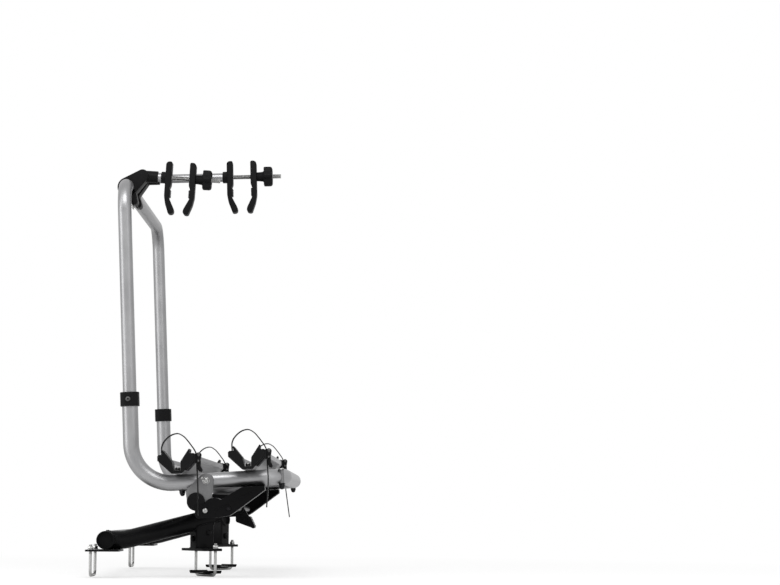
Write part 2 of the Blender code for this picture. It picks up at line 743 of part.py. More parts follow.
def make_lower_frame_tube(platform, silver):
    """One bent tube: up to both joints, down round the heels, forward and across the front."""
    width = FRAME_HALF_WIDTH

    def joint(side):
        return (leg_x(JOINT_HEIGHT), side * width, JOINT_HEIGHT)

    def heel(side):
        return (HEEL_X, side * width, PLATFORM_HEIGHT)

    def front(side):
        return (FRONT_BAR_X, side * width, PLATFORM_HEIGHT)

    corners = [joint(-1), heel(-1), front(-1), front(1), heel(1), joint(1)]
    radii = [HEEL_RADIUS, FRONT_CORNER_RADIUS, FRONT_CORNER_RADIUS, HEEL_RADIUS]
    path = filleted(corners, radii, 6)
    tube = piece("lower_frame_tube", sweep([(point, FRAME_RADIUS) for point in path], 16), silver,
                 platform)
    along = Vector((math.sin(LEG_TILT), 0, math.cos(LEG_TILT)))
    holes = []
    for side in SIDES.values():
        mouth = Vector(joint(side))
        holes.append(rod(mouth - along * (SPIGOT_LENGTH + GAP), mouth + along * 0.02,
                         HOOP_RADIUS + GAP, 20))
        holes.append(rod((HINGE_TOP[0], side * (width - 0.04), PLATFORM_HEIGHT),
                         (HINGE_TOP[0], side * (width + 0.04), PLATFORM_HEIGHT), BOLT_RADIUS + GAP))
        for x in (*RAIL_X, FRONT_BAR_X - 0.004):
            y = side * (width - (0.012 if x > RAIL_X[1] else 0))
            holes.append(rod((x, y, PLATFORM_HEIGHT - 0.04), (x, y, PLATFORM_HEIGHT + 0.04),
                             BOLT_RADIUS + GAP))
    cut(tube, *holes)


def make_upper_hoop(platform, silver):
    """Inverted U whose legs slide into the lower tube."""
    def leg(side, height):
        return (leg_x(height), side * FRAME_HALF_WIDTH, height)

    low = JOINT_HEIGHT - SPIGOT_LENGTH * math.cos(LEG_TILT)
    corners = [leg(-1, low), leg(-1, HOOP_BAR_HEIGHT), leg(1, HOOP_BAR_HEIGHT), leg(1, low)]
    path = filleted(corners, [HOOP_CORNER_RADIUS] * 2, 6)
    piece("upper_hoop", sweep([(point, HOOP_RADIUS) for point in path], 16), silver, platform)


def make_frame_collar(name, side, platform, black):
    """Sleeve over the joint of hoop and lower tube, with its clamping bolt."""
    half = COLLAR_HEIGHT / 2
    depth = FRAME_RADIUS + GAP + COLLAR_WALL
    outline = rounded_rectangle(COLLAR_LENGTH / 2, depth, 0.013)
    collar = piece(f"frame_collar_{name}", prism(outline, -half, half, "XY"), black, platform,
                   (leg_x(JOINT_HEIGHT), side * FRAME_HALF_WIDTH, JOINT_HEIGHT), LEG_TILT)
    step = 0.0005
    cut(collar, sweep([
        ((0, 0, -half - 0.01), FRAME_RADIUS + GAP),
        ((0, 0, step), FRAME_RADIUS + GAP),
        ((0, 0, step), HOOP_RADIUS + GAP),
        ((0, 0, half + 0.01), HOOP_RADIUS + GAP),
    ], 24))
    face = side * depth
    fuse(collar, sweep([
        ((-0.002, face - side * 0.001, 0), 0.0055),
        ((-0.002, face + side * 0.0015, 0), 0.0055),
        ((-0.002, face + side * 0.0030, 0), 0.0035),
    ]))


def make_hinge_plate(name, side, platform, silver):
    """Plate bolted to the platform tube, with an eye that turns on the cross tube."""
    top_x, top_radius = HINGE_TOP
    outline = hull((top_x, PLATFORM_HEIGHT, top_radius), HINGE_SHOULDER, (0, 0, HINGE_EYE_RADIUS),
                   HINGE_FOOT)
    inner, outer = side * PLATE_INNER_Y, side * PLATE_OUTER_Y
    plate = piece(f"hinge_plate_{name}", prism(outline, inner, outer), silver, platform)
    foot_x, foot_z, _ = HINGE_FOOT
    reach = side * 0.02
    cut(plate, rod((0, inner - reach, 0), (0, outer + reach, 0), CROSS_RADIUS + GAP, 32),
        rod((foot_x, inner - reach, foot_z), (foot_x, outer + reach, foot_z), BOLT_RADIUS + GAP))
    grip = PLATE_OUTER_Y - FRAME_HALF_WIDTH + FRAME_RADIUS + GAP
    fuse(plate, bolt((top_x, outer, PLATFORM_HEIGHT), (0, -side, 0), grip))


def support_arm_outline():
    """Side view of a support arm: level rear end, round hump, rise to the platform tube."""
    top = PLATFORM_HEIGHT - FRAME_RADIUS - GAP
    hump_x, hump_z, hump_radius = ARM_HUMP
    slope = math.tan(ARM_SLOPE)
    rise_end = ARM_BEND_X + (top - 0.002) / slope
    front_low = top - ARM_FRONT_DEPTH
    low_bend_x = ARM_FRONT_X - (front_low - ARM_BOTTOM - 0.006) / slope
    start = math.degrees(math.asin((ARM_REAR_TOP - hump_z) / hump_radius))
    outline = [
        (ARM_REAR_X, ARM_BOTTOM + 0.004),
        (ARM_REAR_X + 0.004, ARM_BOTTOM),
        (low_bend_x - 0.030, ARM_BOTTOM),
        (low_bend_x - 0.008, ARM_BOTTOM + 0.002),
        (low_bend_x, ARM_BOTTOM + 0.006),
        (ARM_FRONT_X, front_low),
        (ARM_FRONT_X, top),
        (rise_end, top),
    ]
    outline += arc(hump_x, hump_z, hump_radius, 55, 180 - start, 6)
    outline += [(ARM_REAR_X + 0.004, ARM_REAR_TOP), (ARM_REAR_X, ARM_REAR_TOP - 0.004)]
    return outline


def make_support_arm(name, side, platform, black):
    """Pressed channel under the platform tube: a web outside and a flange all round."""
    outline = support_arm_outline()
    inner = side * (FRAME_HALF_WIDTH - FRAME_RADIUS)
    web = side * WEB_INNER_Y
    outer = side * WEB_OUTER_Y
    arm = piece(f"support_arm_{name}", prism(outline, inner, outer), black, platform)
    pocket = prism(inset(outline, PRESSING_THICKNESS), inner - side * 0.01, web)
    cut(arm, pocket)
    rear = rectangle(ARM_REAR_X - 0.02, ARM_FLANGE_START_X, ARM_BOTTOM - 0.02, PLATFORM_HEIGHT)
    foot_x, foot_z, _ = HINGE_FOOT
    reach = side * 0.02
    cut(arm, prism(rear, inner - side * 0.01, web))
    cut(arm, rod((foot_x, web - reach, foot_z), (foot_x, outer + reach, foot_z), BOLT_RADIUS + GAP),
        rod((LATCH_X, web - reach, LATCH_Z), (LATCH_X, outer + reach, LATCH_Z),
            LATCH_SHAFT_DIAMETER / 2 - 0.002 + GAP),
        rod((RAIL_X[1], side * FRAME_HALF_WIDTH, 0), (RAIL_X[1], side * FRAME_HALF_WIDTH, 0.05),
            BOLT_RADIUS + GAP))


def make_lower_hinge_bolt(name, side, platform, zinc):
    """Bolt through support arm and hinge plate, with a spacer between the two."""
    foot_x, foot_z, _ = HINGE_FOOT
    under_head = (foot_x, side * (WEB_OUTER_Y + GAP), foot_z)
    spacer_at = PRESSING_THICKNESS + 2 * GAP
    spacer = WEB_INNER_Y - PLATE_OUTER_Y - 2 * GAP
    grip = WEB_OUTER_Y - PLATE_INNER_Y + 2 * GAP
    shape = bolt(under_head, (0, -side, 0), grip, spacer=spacer, spacer_at=spacer_at)
    piece(f"lower_hinge_bolt_{name}", shape, zinc, platform)


def rail_line(offset):
    """Half of the rail's V, moved inwards from its outer face, as widths and heights."""
    half_floor = RAIL_HALF_FLOOR - offset * math.tan(math.radians(22.5))
    half_top = RAIL_HALF_TOP - offset
    lip = offset + (half_top - half_floor)
    return half_floor, half_top, offset, lip


def vee(offset, top):
    """Open V line from its right end down and up to its left end."""
    half_floor, half_top, floor, lip = rail_line(offset)
    right = [(half_top, top), (half_top, lip), (half_floor, floor)]
    return right + [(-x, z) for x, z in reversed(right)]


def make_wheel_rail(name, x, platform, silver):
    """V-shaped profile lying across the platform tubes, with an upright lip on both sides."""
    outline = vee(0, RAIL_HEIGHT)[::-1] + vee(RAIL_WALL, RAIL_HEIGHT)
    rail = piece(f"wheel_rail_{name}", prism(outline, -RAIL_HALF_LENGTH, RAIL_HALF_LENGTH), silver,
                 platform, (x, 0, RAIL_BASE))
    cut(rail, *(rod((0, side * FRAME_HALF_WIDTH, -0.01), (0, side * FRAME_HALF_WIDTH, 0.01),
                    BOLT_RADIUS + GAP) for side in SIDES.values()))


def make_rail_bolt(rail, x, name, side, platform, zinc):
    """Bolt down through rail and tube, and through the support arm under the front rail."""
    through_arm = PRESSING_THICKNESS + GAP if x == RAIL_X[1] else 0
    grip = RAIL_WALL + FRAME_TUBE_DIAMETER + through_arm + 3 * GAP
    top = (x, side * FRAME_HALF_WIDTH, RAIL_BASE + RAIL_WALL + GAP)
    piece(f"rail_bolt_{rail}_{name}", cap_nut_bolt(top, grip), zinc, platform)


def make_front_bolt(name, side, platform, zinc):
    """Bolt down through the front corner of the platform tube."""
    top = (FRONT_BAR_X - 0.004, side * (FRAME_HALF_WIDTH - 0.012),
           PLATFORM_HEIGHT + FRAME_RADIUS + GAP)
    piece(f"front_bolt_{name}", cap_nut_bolt(top, FRAME_TUBE_DIAMETER + 2 * GAP), zinc, platform)


# Latch

def make_latch_shaft(platform, zinc):
    """Cross shaft between the support arms, with a shouldered end in each web."""
    radius = LATCH_SHAFT_DIAMETER / 2
    shoulder = WEB_INNER_Y - GAP
    tip = WEB_OUTER_Y + 0.003
    right = [
        ((LATCH_X, -tip, LATCH_Z), radius - 0.003),
        ((LATCH_X, -tip + 0.001, LATCH_Z), radius - 0.002),
        ((LATCH_X, -shoulder, LATCH_Z), radius - 0.002),
        ((LATCH_X, -shoulder, LATCH_Z), radius),
    ]
    left = [((x, -y, z), r) for (x, y, z), r in reversed(right)]
    piece("latch_shaft", sweep(right + left, 12), zinc, platform)


def make_foot_pedal(pedal_axis, black):
    """Foot pedal on the latch shaft, with a forked hook and its pin above."""
    boss = (0, 0, PEDAL_BOSS_RADIUS * 0.9)
    web = PEDAL_WEB_HALF_WIDTH
    pedal = piece("foot_pedal", prism(hull(boss, PEDAL_TIP, PEDAL_ROOT), -web, web), black,
                  pedal_axis)
    tip_x, tip_z, tip_radius = PEDAL_TIP
    pad_top = (tip_x * 0.55 + 0.006, tip_z * 0.55 + 0.002, tip_radius * 0.8)
    pad = prism(hull(PEDAL_TIP, pad_top), -PEDAL_PAD_HALF_WIDTH, PEDAL_PAD_HALF_WIDTH)
    half = PEDAL_BOSS_HALF_WIDTH
    fork_half = CATCH_THICKNESS / 2 + GAP + CHEEK_THICKNESS
    pin_radius = HOOK_PIN_DIAMETER / 2
    fork = prism(hull((0, 0, PEDAL_BOSS_RADIUS * 0.8), (0, HOOK_PIN_RISE, pin_radius + 0.004)),
                 -fork_half, fork_half)
    fuse(pedal, pad, rod((0, -half, 0), (0, half, 0), PEDAL_BOSS_RADIUS, 20), fork)
    slot_half = CATCH_THICKNESS / 2 + GAP
    slot = rectangle(-0.02, 0.02, PEDAL_BOSS_RADIUS + 0.0005, HOOK_PIN_RISE + 0.02)
    cut(pedal, prism(slot, -slot_half, slot_half),
        rod((0, -half - 0.01, 0), (0, half + 0.01, 0), LATCH_SHAFT_DIAMETER / 2 + GAP, 20))
    pin_end = fork_half - 0.001
    fuse(pedal, rod((0, -pin_end, HOOK_PIN_RISE), (0, pin_end, HOOK_PIN_RISE), pin_radius, 16))


def spring_path():
    """Axis of the torsion spring's wire: leg, turns round the latch shaft, leg."""
    per_turn = SPRING_POINTS_PER_TURN
    start_y = PEDAL_BOSS_HALF_WIDTH + GAP + SPRING_WIRE
    coil = []
    for k in range(SPRING_TURNS * per_turn + 1):
        turn = 2 * math.pi * k / per_turn
        coil.append(Vector((SPRING_RADIUS * math.cos(turn), start_y + SPRING_PITCH * k / per_turn,
                            SPRING_RADIUS * math.sin(turn))))
    first = coil[0] + Vector((0, 0, -SPRING_LEG))
    last = coil[-1] + Vector((0, 0, SPRING_LEG))
    return [first] + coil + [last]


def make_latch_spring(platform, steel):
    """Torsion spring beside the pedal's boss; its turns stand clear of each other."""
    path = spring_path()
    least = SPRING_PITCH - SPRING_WIRE
    print(f"latch spring: {len(path)} points, least gap between turns {least * 1000:.2f} mm")
    piece("latch_spring", sweep([(point, SPRING_WIRE / 2) for point in path], 6), steel, platform,
          (LATCH_X, 0, LATCH_Z))


# Wheel supports and straps

def support_outline():
    """Section of a wheel support: a trough between two wings, a thin finger on each wing.

    The right wing runs down outside the rail as a skirt, the left one only over its lip.
    """
    half_floor, half_top, floor, lip = rail_line(RAIL_WALL + GAP)
    over_lip = RAIL_HEIGHT + GAP
    wing = RAIL_HALF_TOP + GAP + WRAP_WALL
    outside, beside, _, bend = rail_line(-GAP)
    low = SKIRT_LOW
    skirt = [
        (beside, bend),
        (outside + low + GAP, low),
        (outside + low + GAP + SKIRT_THICKNESS * 0.8, low - 0.001),
        (wing - 0.002, wing - 0.002 - outside - SKIRT_THICKNESS * 1.3),
        (wing, wing + 0.001 - outside - SKIRT_THICKNESS * 1.3),
    ]
    left_wrap = [
        (beside, RAIL_HEIGHT - 0.010),
        (wing, RAIL_HEIGHT - 0.010),
    ]
    inside = [
        (half_floor, floor),
        (half_top, lip),
        (half_top, over_lip),
        (beside, over_lip),
    ]
    crest = [
        (wing, SUPPORT_TOP - 0.003),
        (wing - 0.003, SUPPORT_TOP),
        (FINGER_HALF_GAP + FINGER_THICKNESS - 0.0015, SUPPORT_TOP),
        (FINGER_HALF_GAP + FINGER_THICKNESS, FINGER_TOP - 0.001),
        (FINGER_HALF_GAP + 0.001, FINGER_TOP),
        (TROUGH_HALF_TOP, TROUGH_TOP),
        (TROUGH_HALF_FLOOR, floor + SUPPORT_FLOOR),
    ]
    left = inside + left_wrap + crest
    return inside + skirt + crest + [(-x, z) for x, z in reversed(left)]


def make_wheel_support(name, parent, plastic):
    """Wheel support with its strap slot on one wing and the lever's lugs on the other."""
    half = SUPPORT_HALF_LENGTH
    support = piece(f"wheel_support_{name}", prism(support_outline(), -half, half), plastic, parent)
    floor = RAIL_WALL + GAP + SUPPORT_FLOOR
    wing = RAIL_HALF_TOP + GAP + WRAP_WALL
    lug_low = LEVER_HALF_WIDTH + GAP
    root = wing - 0.0005
    lug_outline = hull((root, SUPPORT_TOP - 0.002, 0.0012), (root, RAIL_HEIGHT - 0.016, 0.0012),
                       (LEVER_PIN_X, LEVER_PIN_Z, 0.0052),
                       (LEVER_PIN_X - 0.001, LEVER_PIN_Z - 0.013, 0.0035), count=12)
    fuse(support, prism(lug_outline, lug_low, lug_low + LUG_THICKNESS))
    fuse(support, prism(lug_outline, -lug_low - LUG_THICKNESS, -lug_low))
    fuse(support, sweep([((0, 0, floor - 0.001), 0.0055), ((0, 0, floor + 0.0055), 0.0055),
                         ((0, 0, floor + 0.0070), 0.0035)], 6))
    pin_reach = lug_low + LUG_THICKNESS + 0.01
    slot = STRAP_THICKNESS / 2 + GAP
    slot_low = RAIL_HEIGHT - 0.004
    cut(support, prism(rectangle(-STRAP_SLOT_X - slot, -STRAP_SLOT_X + slot, slot_low, 0.1),
                       -STRAP_HALF_WIDTH - GAP, STRAP_HALF_WIDTH + GAP),
        rod((LEVER_PIN_X, -pin_reach, LEVER_PIN_Z), (LEVER_PIN_X, pin_reach, LEVER_PIN_Z),
            LEVER_PIN_DIAMETER / 2 + GAP))


# Where each strap's loose end hangs, from the rail's middle and underside
STRAP_TAILS = {
    "rear_right": [(0.0416, -0.020), (0.0408, -0.050), (0.0380, -0.093)],
    "rear_left": [(0.0445, -0.008), (0.0520, -0.010), (0.0610, -0.002)],
    "front_right": [(0.0416, -0.030), (0.0352, -0.084)],
    "front_left": [(0.0450, -0.045), (0.0500, -0.109)],
}


def strap_outline(name):
    """Side view of a strap: slot, arch, down under the lever, loose end."""
    wing = RAIL_HALF_TOP + GAP + WRAP_WALL
    half = STRAP_THICKNESS / 2
    beside = wing + GAP + half
    slot_floor = RAIL_HEIGHT - 0.004 + GAP
    rise = STRAP_LOOP_TOP - SUPPORT_TOP
    arch = [(-1.0, 0.22), (-0.97, 0.42), (-0.82, 0.64), (-0.50, 0.865), (-0.17, 0.985),
            (0.18, 1.0), (0.53, 0.84), (0.785, 0.61), (1.01, 0.365), (1.18, 0.16)]
    line = [(-STRAP_SLOT_X, slot_floor), (-STRAP_SLOT_X, SUPPORT_TOP)]
    line += [(x * STRAP_SLOT_X, SUPPORT_TOP + z * rise) for x, z in arch]
    line += [(beside, RAIL_HEIGHT - depth) for depth in (-0.001, 0.012, 0.025, 0.038)]
    curve = spline(line + STRAP_TAILS[name], 2)
    outer, inner = [], []
    for k, point in enumerate(curve):
        way = (curve[min(k + 1, len(curve) - 1)] - curve[max(k - 1, 0)]).normalized()
        normal = Vector((-way.y, way.x)) * half
        outer.append(tuple(point + normal))
        inner.append(tuple(point - normal))
    return outer + inner[::-1]


def make_wheel_strap(name, parent, rubber):
    shape = prism(strap_outline(name), -STRAP_HALF_WIDTH, STRAP_HALF_WIDTH)
    piece(f"wheel_strap_{name}", shape, rubber, parent)


def make_ratchet_lever(name, parent, plastic):
    """Ratchet lever: two arms beside the strap's back, a thumb end and the pin in the lugs."""
    strap_back = RAIL_HALF_TOP + WRAP_WALL + 3 * GAP + STRAP_THICKNESS - LEVER_PIN_X
    thickness = 0.0065
    outline = arc(0, 0, -strap_back, 180, -20, 8)
    outline += [
        (strap_back + thickness, -0.012),
        (strap_back + thickness, -LEVER_LENGTH + 0.012),
        (strap_back + 0.010, -LEVER_LENGTH + 0.003),
        (strap_back + 0.008, -LEVER_LENGTH - 0.001),
        (strap_back + 0.003, -LEVER_LENGTH),
        (strap_back, -LEVER_LENGTH + 0.006),
    ]
    lever = piece(f"ratchet_lever_{name}", prism(outline, -LEVER_HALF_WIDTH, LEVER_HALF_WIDTH),
                  plastic, parent, (LEVER_PIN_X, 0, LEVER_PIN_Z))
    end = LEVER_HALF_WIDTH + GAP + LUG_THICKNESS
    fuse(lever, rod((0, -end, 0), (0, end, 0), LEVER_PIN_DIAMETER / 2))
    hollow = rectangle(strap_back + thickness - 0.002, strap_back + thickness + 0.01,
                       -LEVER_LENGTH + 0.014, -0.013)
    cut(lever, prism(hollow, -LEVER_HALF_WIDTH + 0.004, LEVER_HALF_WIDTH - 0.004))


def make_wheel_places(platform, plastic, rubber):
    for rail, x in zip(("rear", "front"), RAIL_X):
        for end, side in SIDES.items():
            name = f"{rail}_{end}"
            place = put(f"support_place_{name}", None, platform, (x, side * SUPPORT_Y, RAIL_BASE))
            make_wheel_support(name, place, plastic)
            make_wheel_strap(name, place, rubber)
            make_ratchet_lever(name, place, plastic)


# Holder arms

def make_arm_clamp(name, arm_axis, black):
    """Split clamp round the hoop bar, with a raised socket for the arm tube and a pinch bolt below."""
    outer = HOOP_RADIUS + GAP + CLAMP_WALL
    half = CLAMP_HALF_WIDTH
    body = prism(hull((0, 0, outer), (CLAMP_NOSE_X, ARM_LIFT, CLAMP_NOSE_RADIUS)), -half, half)
    clamp = piece(f"arm_clamp_{name}", body, black, arm_axis)
    ear = prism(hull(CLAMP_EAR_TOP, CLAMP_EAR_FOOT), -half, half)
    socket_radius = ARM_TUBE_DIAMETER / 2 + GAP + SOCKET_WALL
    socket = sweep([((SOCKET_START, 0, ARM_LIFT), socket_radius),
                    ((SOCKET_LENGTH - SOCKET_LIP, 0, ARM_LIFT), socket_radius),
                    ((SOCKET_LENGTH, 0, ARM_LIFT), socket_radius - SOCKET_LIP_DEPTH)], 20)
    fuse(clamp, ear, socket)
    split = prism(hull((*CLAMP_SPLIT_TOP, CLAMP_SPLIT / 2), (*CLAMP_SPLIT_FOOT, CLAMP_SPLIT / 2), count=8),
                  -half - 0.01, half + 0.01)
    cut(clamp, rod((0, -half - 0.01, 0), (0, half + 0.01, 0), HOOP_RADIUS + GAP, 24),
        rod((ARM_TUBE_START, 0, ARM_LIFT), (SOCKET_LENGTH + 0.01, 0, ARM_LIFT),
            ARM_TUBE_DIAMETER / 2 + GAP, 20))
    cut(clamp, split)
    across = Vector((math.cos(CLAMP_BOLT_SLOPE), 0, math.sin(CLAMP_BOLT_SLOPE)))
    middle = Vector((CLAMP_BOLT_X, 0, CLAMP_BOLT_Z))
    head = CLAMP_BOLT_HEAD_DIAMETER / 2
    fuse(clamp, sweep([(middle - across * CLAMP_HEAD_TOP, head - CLAMP_HEAD_ROUNDING),
                       (middle - across * (CLAMP_HEAD_TOP - CLAMP_HEAD_ROUNDING), head),
                       (middle - across * CLAMP_HEAD_SEAT, head)]))
    fuse(clamp, rod(middle - across * CLAMP_BOLT_HALF_LENGTH, middle + across * CLAMP_BOLT_HALF_LENGTH,
                    CLAMP_BOLT_DIAMETER / 2))


def jaw_outline(face, back):
    """Side view of a jaw: straight back, hollowed gripping face, tip curving inwards."""
    inward = math.copysign(JAW_TIP_INWARD, face - back)
    hollow = math.copysign(JAW_GRIP_DEPTH, back - face)
    bend = -JAW_REACH + JAW_TIP_LENGTH
    return [
        (back, JAW_RISE - 0.004),
        (back, bend + 0.012),
        (back + inward * 0.35, bend - 0.006),
        (back + inward * 0.95, -JAW_REACH + 0.006),
        (back + inward * 1.15, -JAW_REACH),
        (face + inward * 0.6, -JAW_REACH),
        (face + inward, -JAW_REACH + 0.005),
        (face + inward * 0.9, -JAW_REACH + 0.012),
        (face + inward * 0.1, bend),
        (face + hollow, bend + 0.010),
        (face + hollow, -0.026),
        (face, -0.018),
        (face, JAW_RISE),
        (back + (face - back) * 0.35, JAW_RISE),
    ]


def make_fixed_jaw(name, jaw_axis, black):
    """Jaw that turns on the arm tube's end; its origin is the middle of its gripping side."""
    jaw = piece(f"fixed_jaw_{name}",
                prism(jaw_outline(0, -JAW_THICKNESS), -JAW_HALF_WIDTH, JAW_HALF_WIDTH), black,
                jaw_axis)
    boss_radius = ARM_TUBE_DIAMETER / 2 + GAP + SOCKET_WALL
    fuse(jaw, rod((-JAW_BOSS_LENGTH, 0, 0), (-0.001, 0, 0), boss_radius, 20))
    cut(jaw, rod((-JAW_BOSS_LENGTH - 0.01, 0, 0), (-0.004, 0, 0), ARM_TUBE_DIAMETER / 2 + GAP, 20))
    cut(jaw, rod((-0.01, 0, 0), (0.01, 0, 0), SCREW_DIAMETER / 2 + GAP, 16))


def make_moving_jaw(name, jaw_axis, black):
    """Jaw that the knob's screw pulls towards the fixed one."""
    jaw = piece(f"moving_jaw_{name}",
                prism(jaw_outline(0, JAW_THICKNESS), -JAW_HALF_WIDTH, JAW_HALF_WIDTH), black,
                jaw_axis, (JAW_OPENING, 0, 0))
    cut(jaw, rod((-0.02, 0, 0), (0.02, 0, 0), SCREW_DIAMETER / 2 + GAP, 16))


def make_jaw_knob(name, jaw_axis, black):
    """Hand knob with a neck and lobes, fixed on the screw that runs into the arm tube."""
    start = JAW_OPENING + JAW_THICKNESS + GAP
    count = 6 * KNOB_LOBES
    rim = []
    for k in range(count):
        turn = 2 * math.pi * k / count
        radius = KNOB_RADIUS * (0.93 + 0.07 * math.cos(KNOB_LOBES * turn))
        rim.append((radius * math.cos(turn), radius * math.sin(turn)))
    end = KNOB_NECK + KNOB_THICKNESS
    knob = piece(f"jaw_knob_{name}", prism(rim, KNOB_NECK, end - 0.003, "YZ"), black,
                 jaw_axis, (start, 0, 0))
    fuse(knob, sweep([
        ((0, 0, 0), 0.010),
        ((end - 0.006, 0, 0), 0.0115),
        ((end - 0.006, 0, 0), KNOB_RADIUS * 0.8),
        ((end, 0, 0), KNOB_RADIUS * 0.62),
    ], 20))
    screw_end = -start - JAW_BOSS_LENGTH
    fuse(knob, rod((screw_end, 0, 0), (0.003, 0, 0), SCREW_DIAMETER / 2, 12))


def make_arm_tube(name, arm_axis, silver):
    """Arm tube from the clamp's socket to the fixed jaw, bored for the screw."""
    start = ARM_TUBE_START + GAP
    end = JAW_X[name] - 0.004 - GAP
    tube = piece(f"arm_tube_{name}", rod((start, 0, 0), (end, 0, 0), ARM_TUBE_DIAMETER / 2, 20),
                 silver, arm_axis, (0, 0, ARM_LIFT))
    bore = min(JAW_BOSS_LENGTH + 0.034, end - start - 0.008)
    cut(tube, rod((end - bore, 0, 0), (end + 0.01, 0, 0), SCREW_DIAMETER / 2 + 2 * GAP, 16))


def make_holder_arm(name, platform, silver, black):
    y = ARM_FROM_SIDE[name] - FRAME_HALF_WIDTH
    axis = put(f"arm_axis_{name}", None, platform, (leg_x(HOOP_BAR_HEIGHT), y, HOOP_BAR_HEIGHT),
               PLATFORM_RISE - ARM_RISE[name])
    make_arm_clamp(name, axis, black)
    make_arm_tube(name, axis, silver)
    jaw_axis = put(f"jaw_axis_{name}", None, axis, (JAW_X[name], 0, ARM_LIFT))
    make_fixed_jaw(name, jaw_axis, black)
    make_moving_jaw(name, jaw_axis, black)
    make_jaw_knob(name, jaw_axis, black)


def main():
    for thing in list(bpy.data.objects):
        bpy.data.objects.remove(thing)
    black = material("black_powder_coat", (0.018, 0.018, 0.019), 0.45, 0.0)
    plastic = material("black_plastic", (0.022, 0.022, 0.023), 0.55, 0.0)
    rubber = material("black_strap_rubber", (0.015, 0.015, 0.015), 0.6, 0.0)
    silver = material("satin_aluminium", (0.62, 0.62, 0.63), 0.32, 1.0)
    zinc = material("zinc_plated_steel", (0.55, 0.55, 0.56), 0.3, 1.0)

    make_rear_cross_tube(black)
    make_cross_tube(black)
    make_catch_plate(black)
    for name, side in SIDES.items():
        make_diagonal_tube(name, side, black)
        make_front_post(name, side, black)
        make_front_clamp_plate(name, side, black)
        make_u_bolt(name, "front", FOOT_THICKNESS,
                    -DRAWBAR_HEIGHT - CLAMP_PLATE_THICKNESS - GAP, zinc)
        make_rear_saddle(name, side, black)
        make_u_bolt(name, "rear", PLATE_THICKNESS, -DRAWBAR_HEIGHT - GAP, zinc)
        make_cross_tube_cap(name, side, plastic)

    platform = put("tilt_axis", None, None, (0, 0, TILT_AXIS_Z), -PLATFORM_RISE)
    make_lower_frame_tube(platform, silver)
    make_upper_hoop(platform, silver)
    for name, side in SIDES.items():
        make_frame_collar(name, side, platform, black)
        make_hinge_plate(name, side, platform, silver)
        make_support_arm(name, side, platform, black)
        make_lower_hinge_bolt(name, side, platform, zinc)
        make_front_bolt(name, side, platform, zinc)
    for rail, x in zip(("rear", "front"), RAIL_X):
        make_wheel_rail(rail, x, platform, silver)
        for name, side in SIDES.items():
            make_rail_bolt(rail, x, name, side, platform, zinc)
    make_latch_shaft(platform, zinc)
    make_latch_spring(platform, zinc)
    pedal_axis = put("pedal_axis", None, platform, (LATCH_X, 0, LATCH_Z))
    make_foot_pedal(pedal_axis, black)
    make_wheel_places(platform, plastic, rubber)
    for name in ARM_FROM_SIDE:
        make_holder_arm(name, platform, silver, black)


main()
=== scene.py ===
"""Caravan bike carrier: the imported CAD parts, finished and lit.

Metres, +Z up, +X forward, +Y to the left, as in the CAD.
"""

import json
import math

import bmesh
import bpy
from mathutils import Matrix, Vector

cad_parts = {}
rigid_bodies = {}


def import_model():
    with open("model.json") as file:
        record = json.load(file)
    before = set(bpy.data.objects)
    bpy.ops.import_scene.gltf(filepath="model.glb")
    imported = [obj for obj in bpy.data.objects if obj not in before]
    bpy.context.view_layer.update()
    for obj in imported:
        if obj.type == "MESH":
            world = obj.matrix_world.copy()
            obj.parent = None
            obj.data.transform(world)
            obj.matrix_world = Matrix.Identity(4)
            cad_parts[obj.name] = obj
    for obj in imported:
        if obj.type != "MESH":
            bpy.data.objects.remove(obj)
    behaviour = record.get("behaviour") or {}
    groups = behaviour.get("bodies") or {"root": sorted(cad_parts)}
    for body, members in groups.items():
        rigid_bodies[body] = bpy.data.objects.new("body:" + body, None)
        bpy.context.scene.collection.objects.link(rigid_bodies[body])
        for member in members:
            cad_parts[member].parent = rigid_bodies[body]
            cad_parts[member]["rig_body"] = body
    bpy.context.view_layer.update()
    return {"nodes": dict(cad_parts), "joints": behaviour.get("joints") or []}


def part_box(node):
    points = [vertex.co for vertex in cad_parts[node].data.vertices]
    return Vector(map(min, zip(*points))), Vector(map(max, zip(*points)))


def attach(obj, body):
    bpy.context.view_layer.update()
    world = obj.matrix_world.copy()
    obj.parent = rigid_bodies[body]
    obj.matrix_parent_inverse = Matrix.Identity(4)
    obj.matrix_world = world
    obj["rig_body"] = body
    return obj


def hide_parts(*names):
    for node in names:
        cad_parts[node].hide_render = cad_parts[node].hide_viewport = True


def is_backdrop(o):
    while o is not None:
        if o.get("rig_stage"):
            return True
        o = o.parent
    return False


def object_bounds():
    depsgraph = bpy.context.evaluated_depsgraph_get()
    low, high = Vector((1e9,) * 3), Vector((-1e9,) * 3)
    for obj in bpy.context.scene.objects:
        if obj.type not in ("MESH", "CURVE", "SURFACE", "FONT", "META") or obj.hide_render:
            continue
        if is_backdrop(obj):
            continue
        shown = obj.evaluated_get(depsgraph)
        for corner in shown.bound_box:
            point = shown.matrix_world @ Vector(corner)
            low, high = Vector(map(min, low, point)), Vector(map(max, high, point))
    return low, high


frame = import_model()
nodes = frame["nodes"]
joints = {joint["name"]: joint for joint in frame["joints"]}

FORWARD = (1, 0, 0)
LEFT = (0, 1, 0)
UP = (0, 0, 1)
DOWN = (0, 0, -1)
SIDES = {"right": -1, "left": 1}
ARMS = ("short", "long")

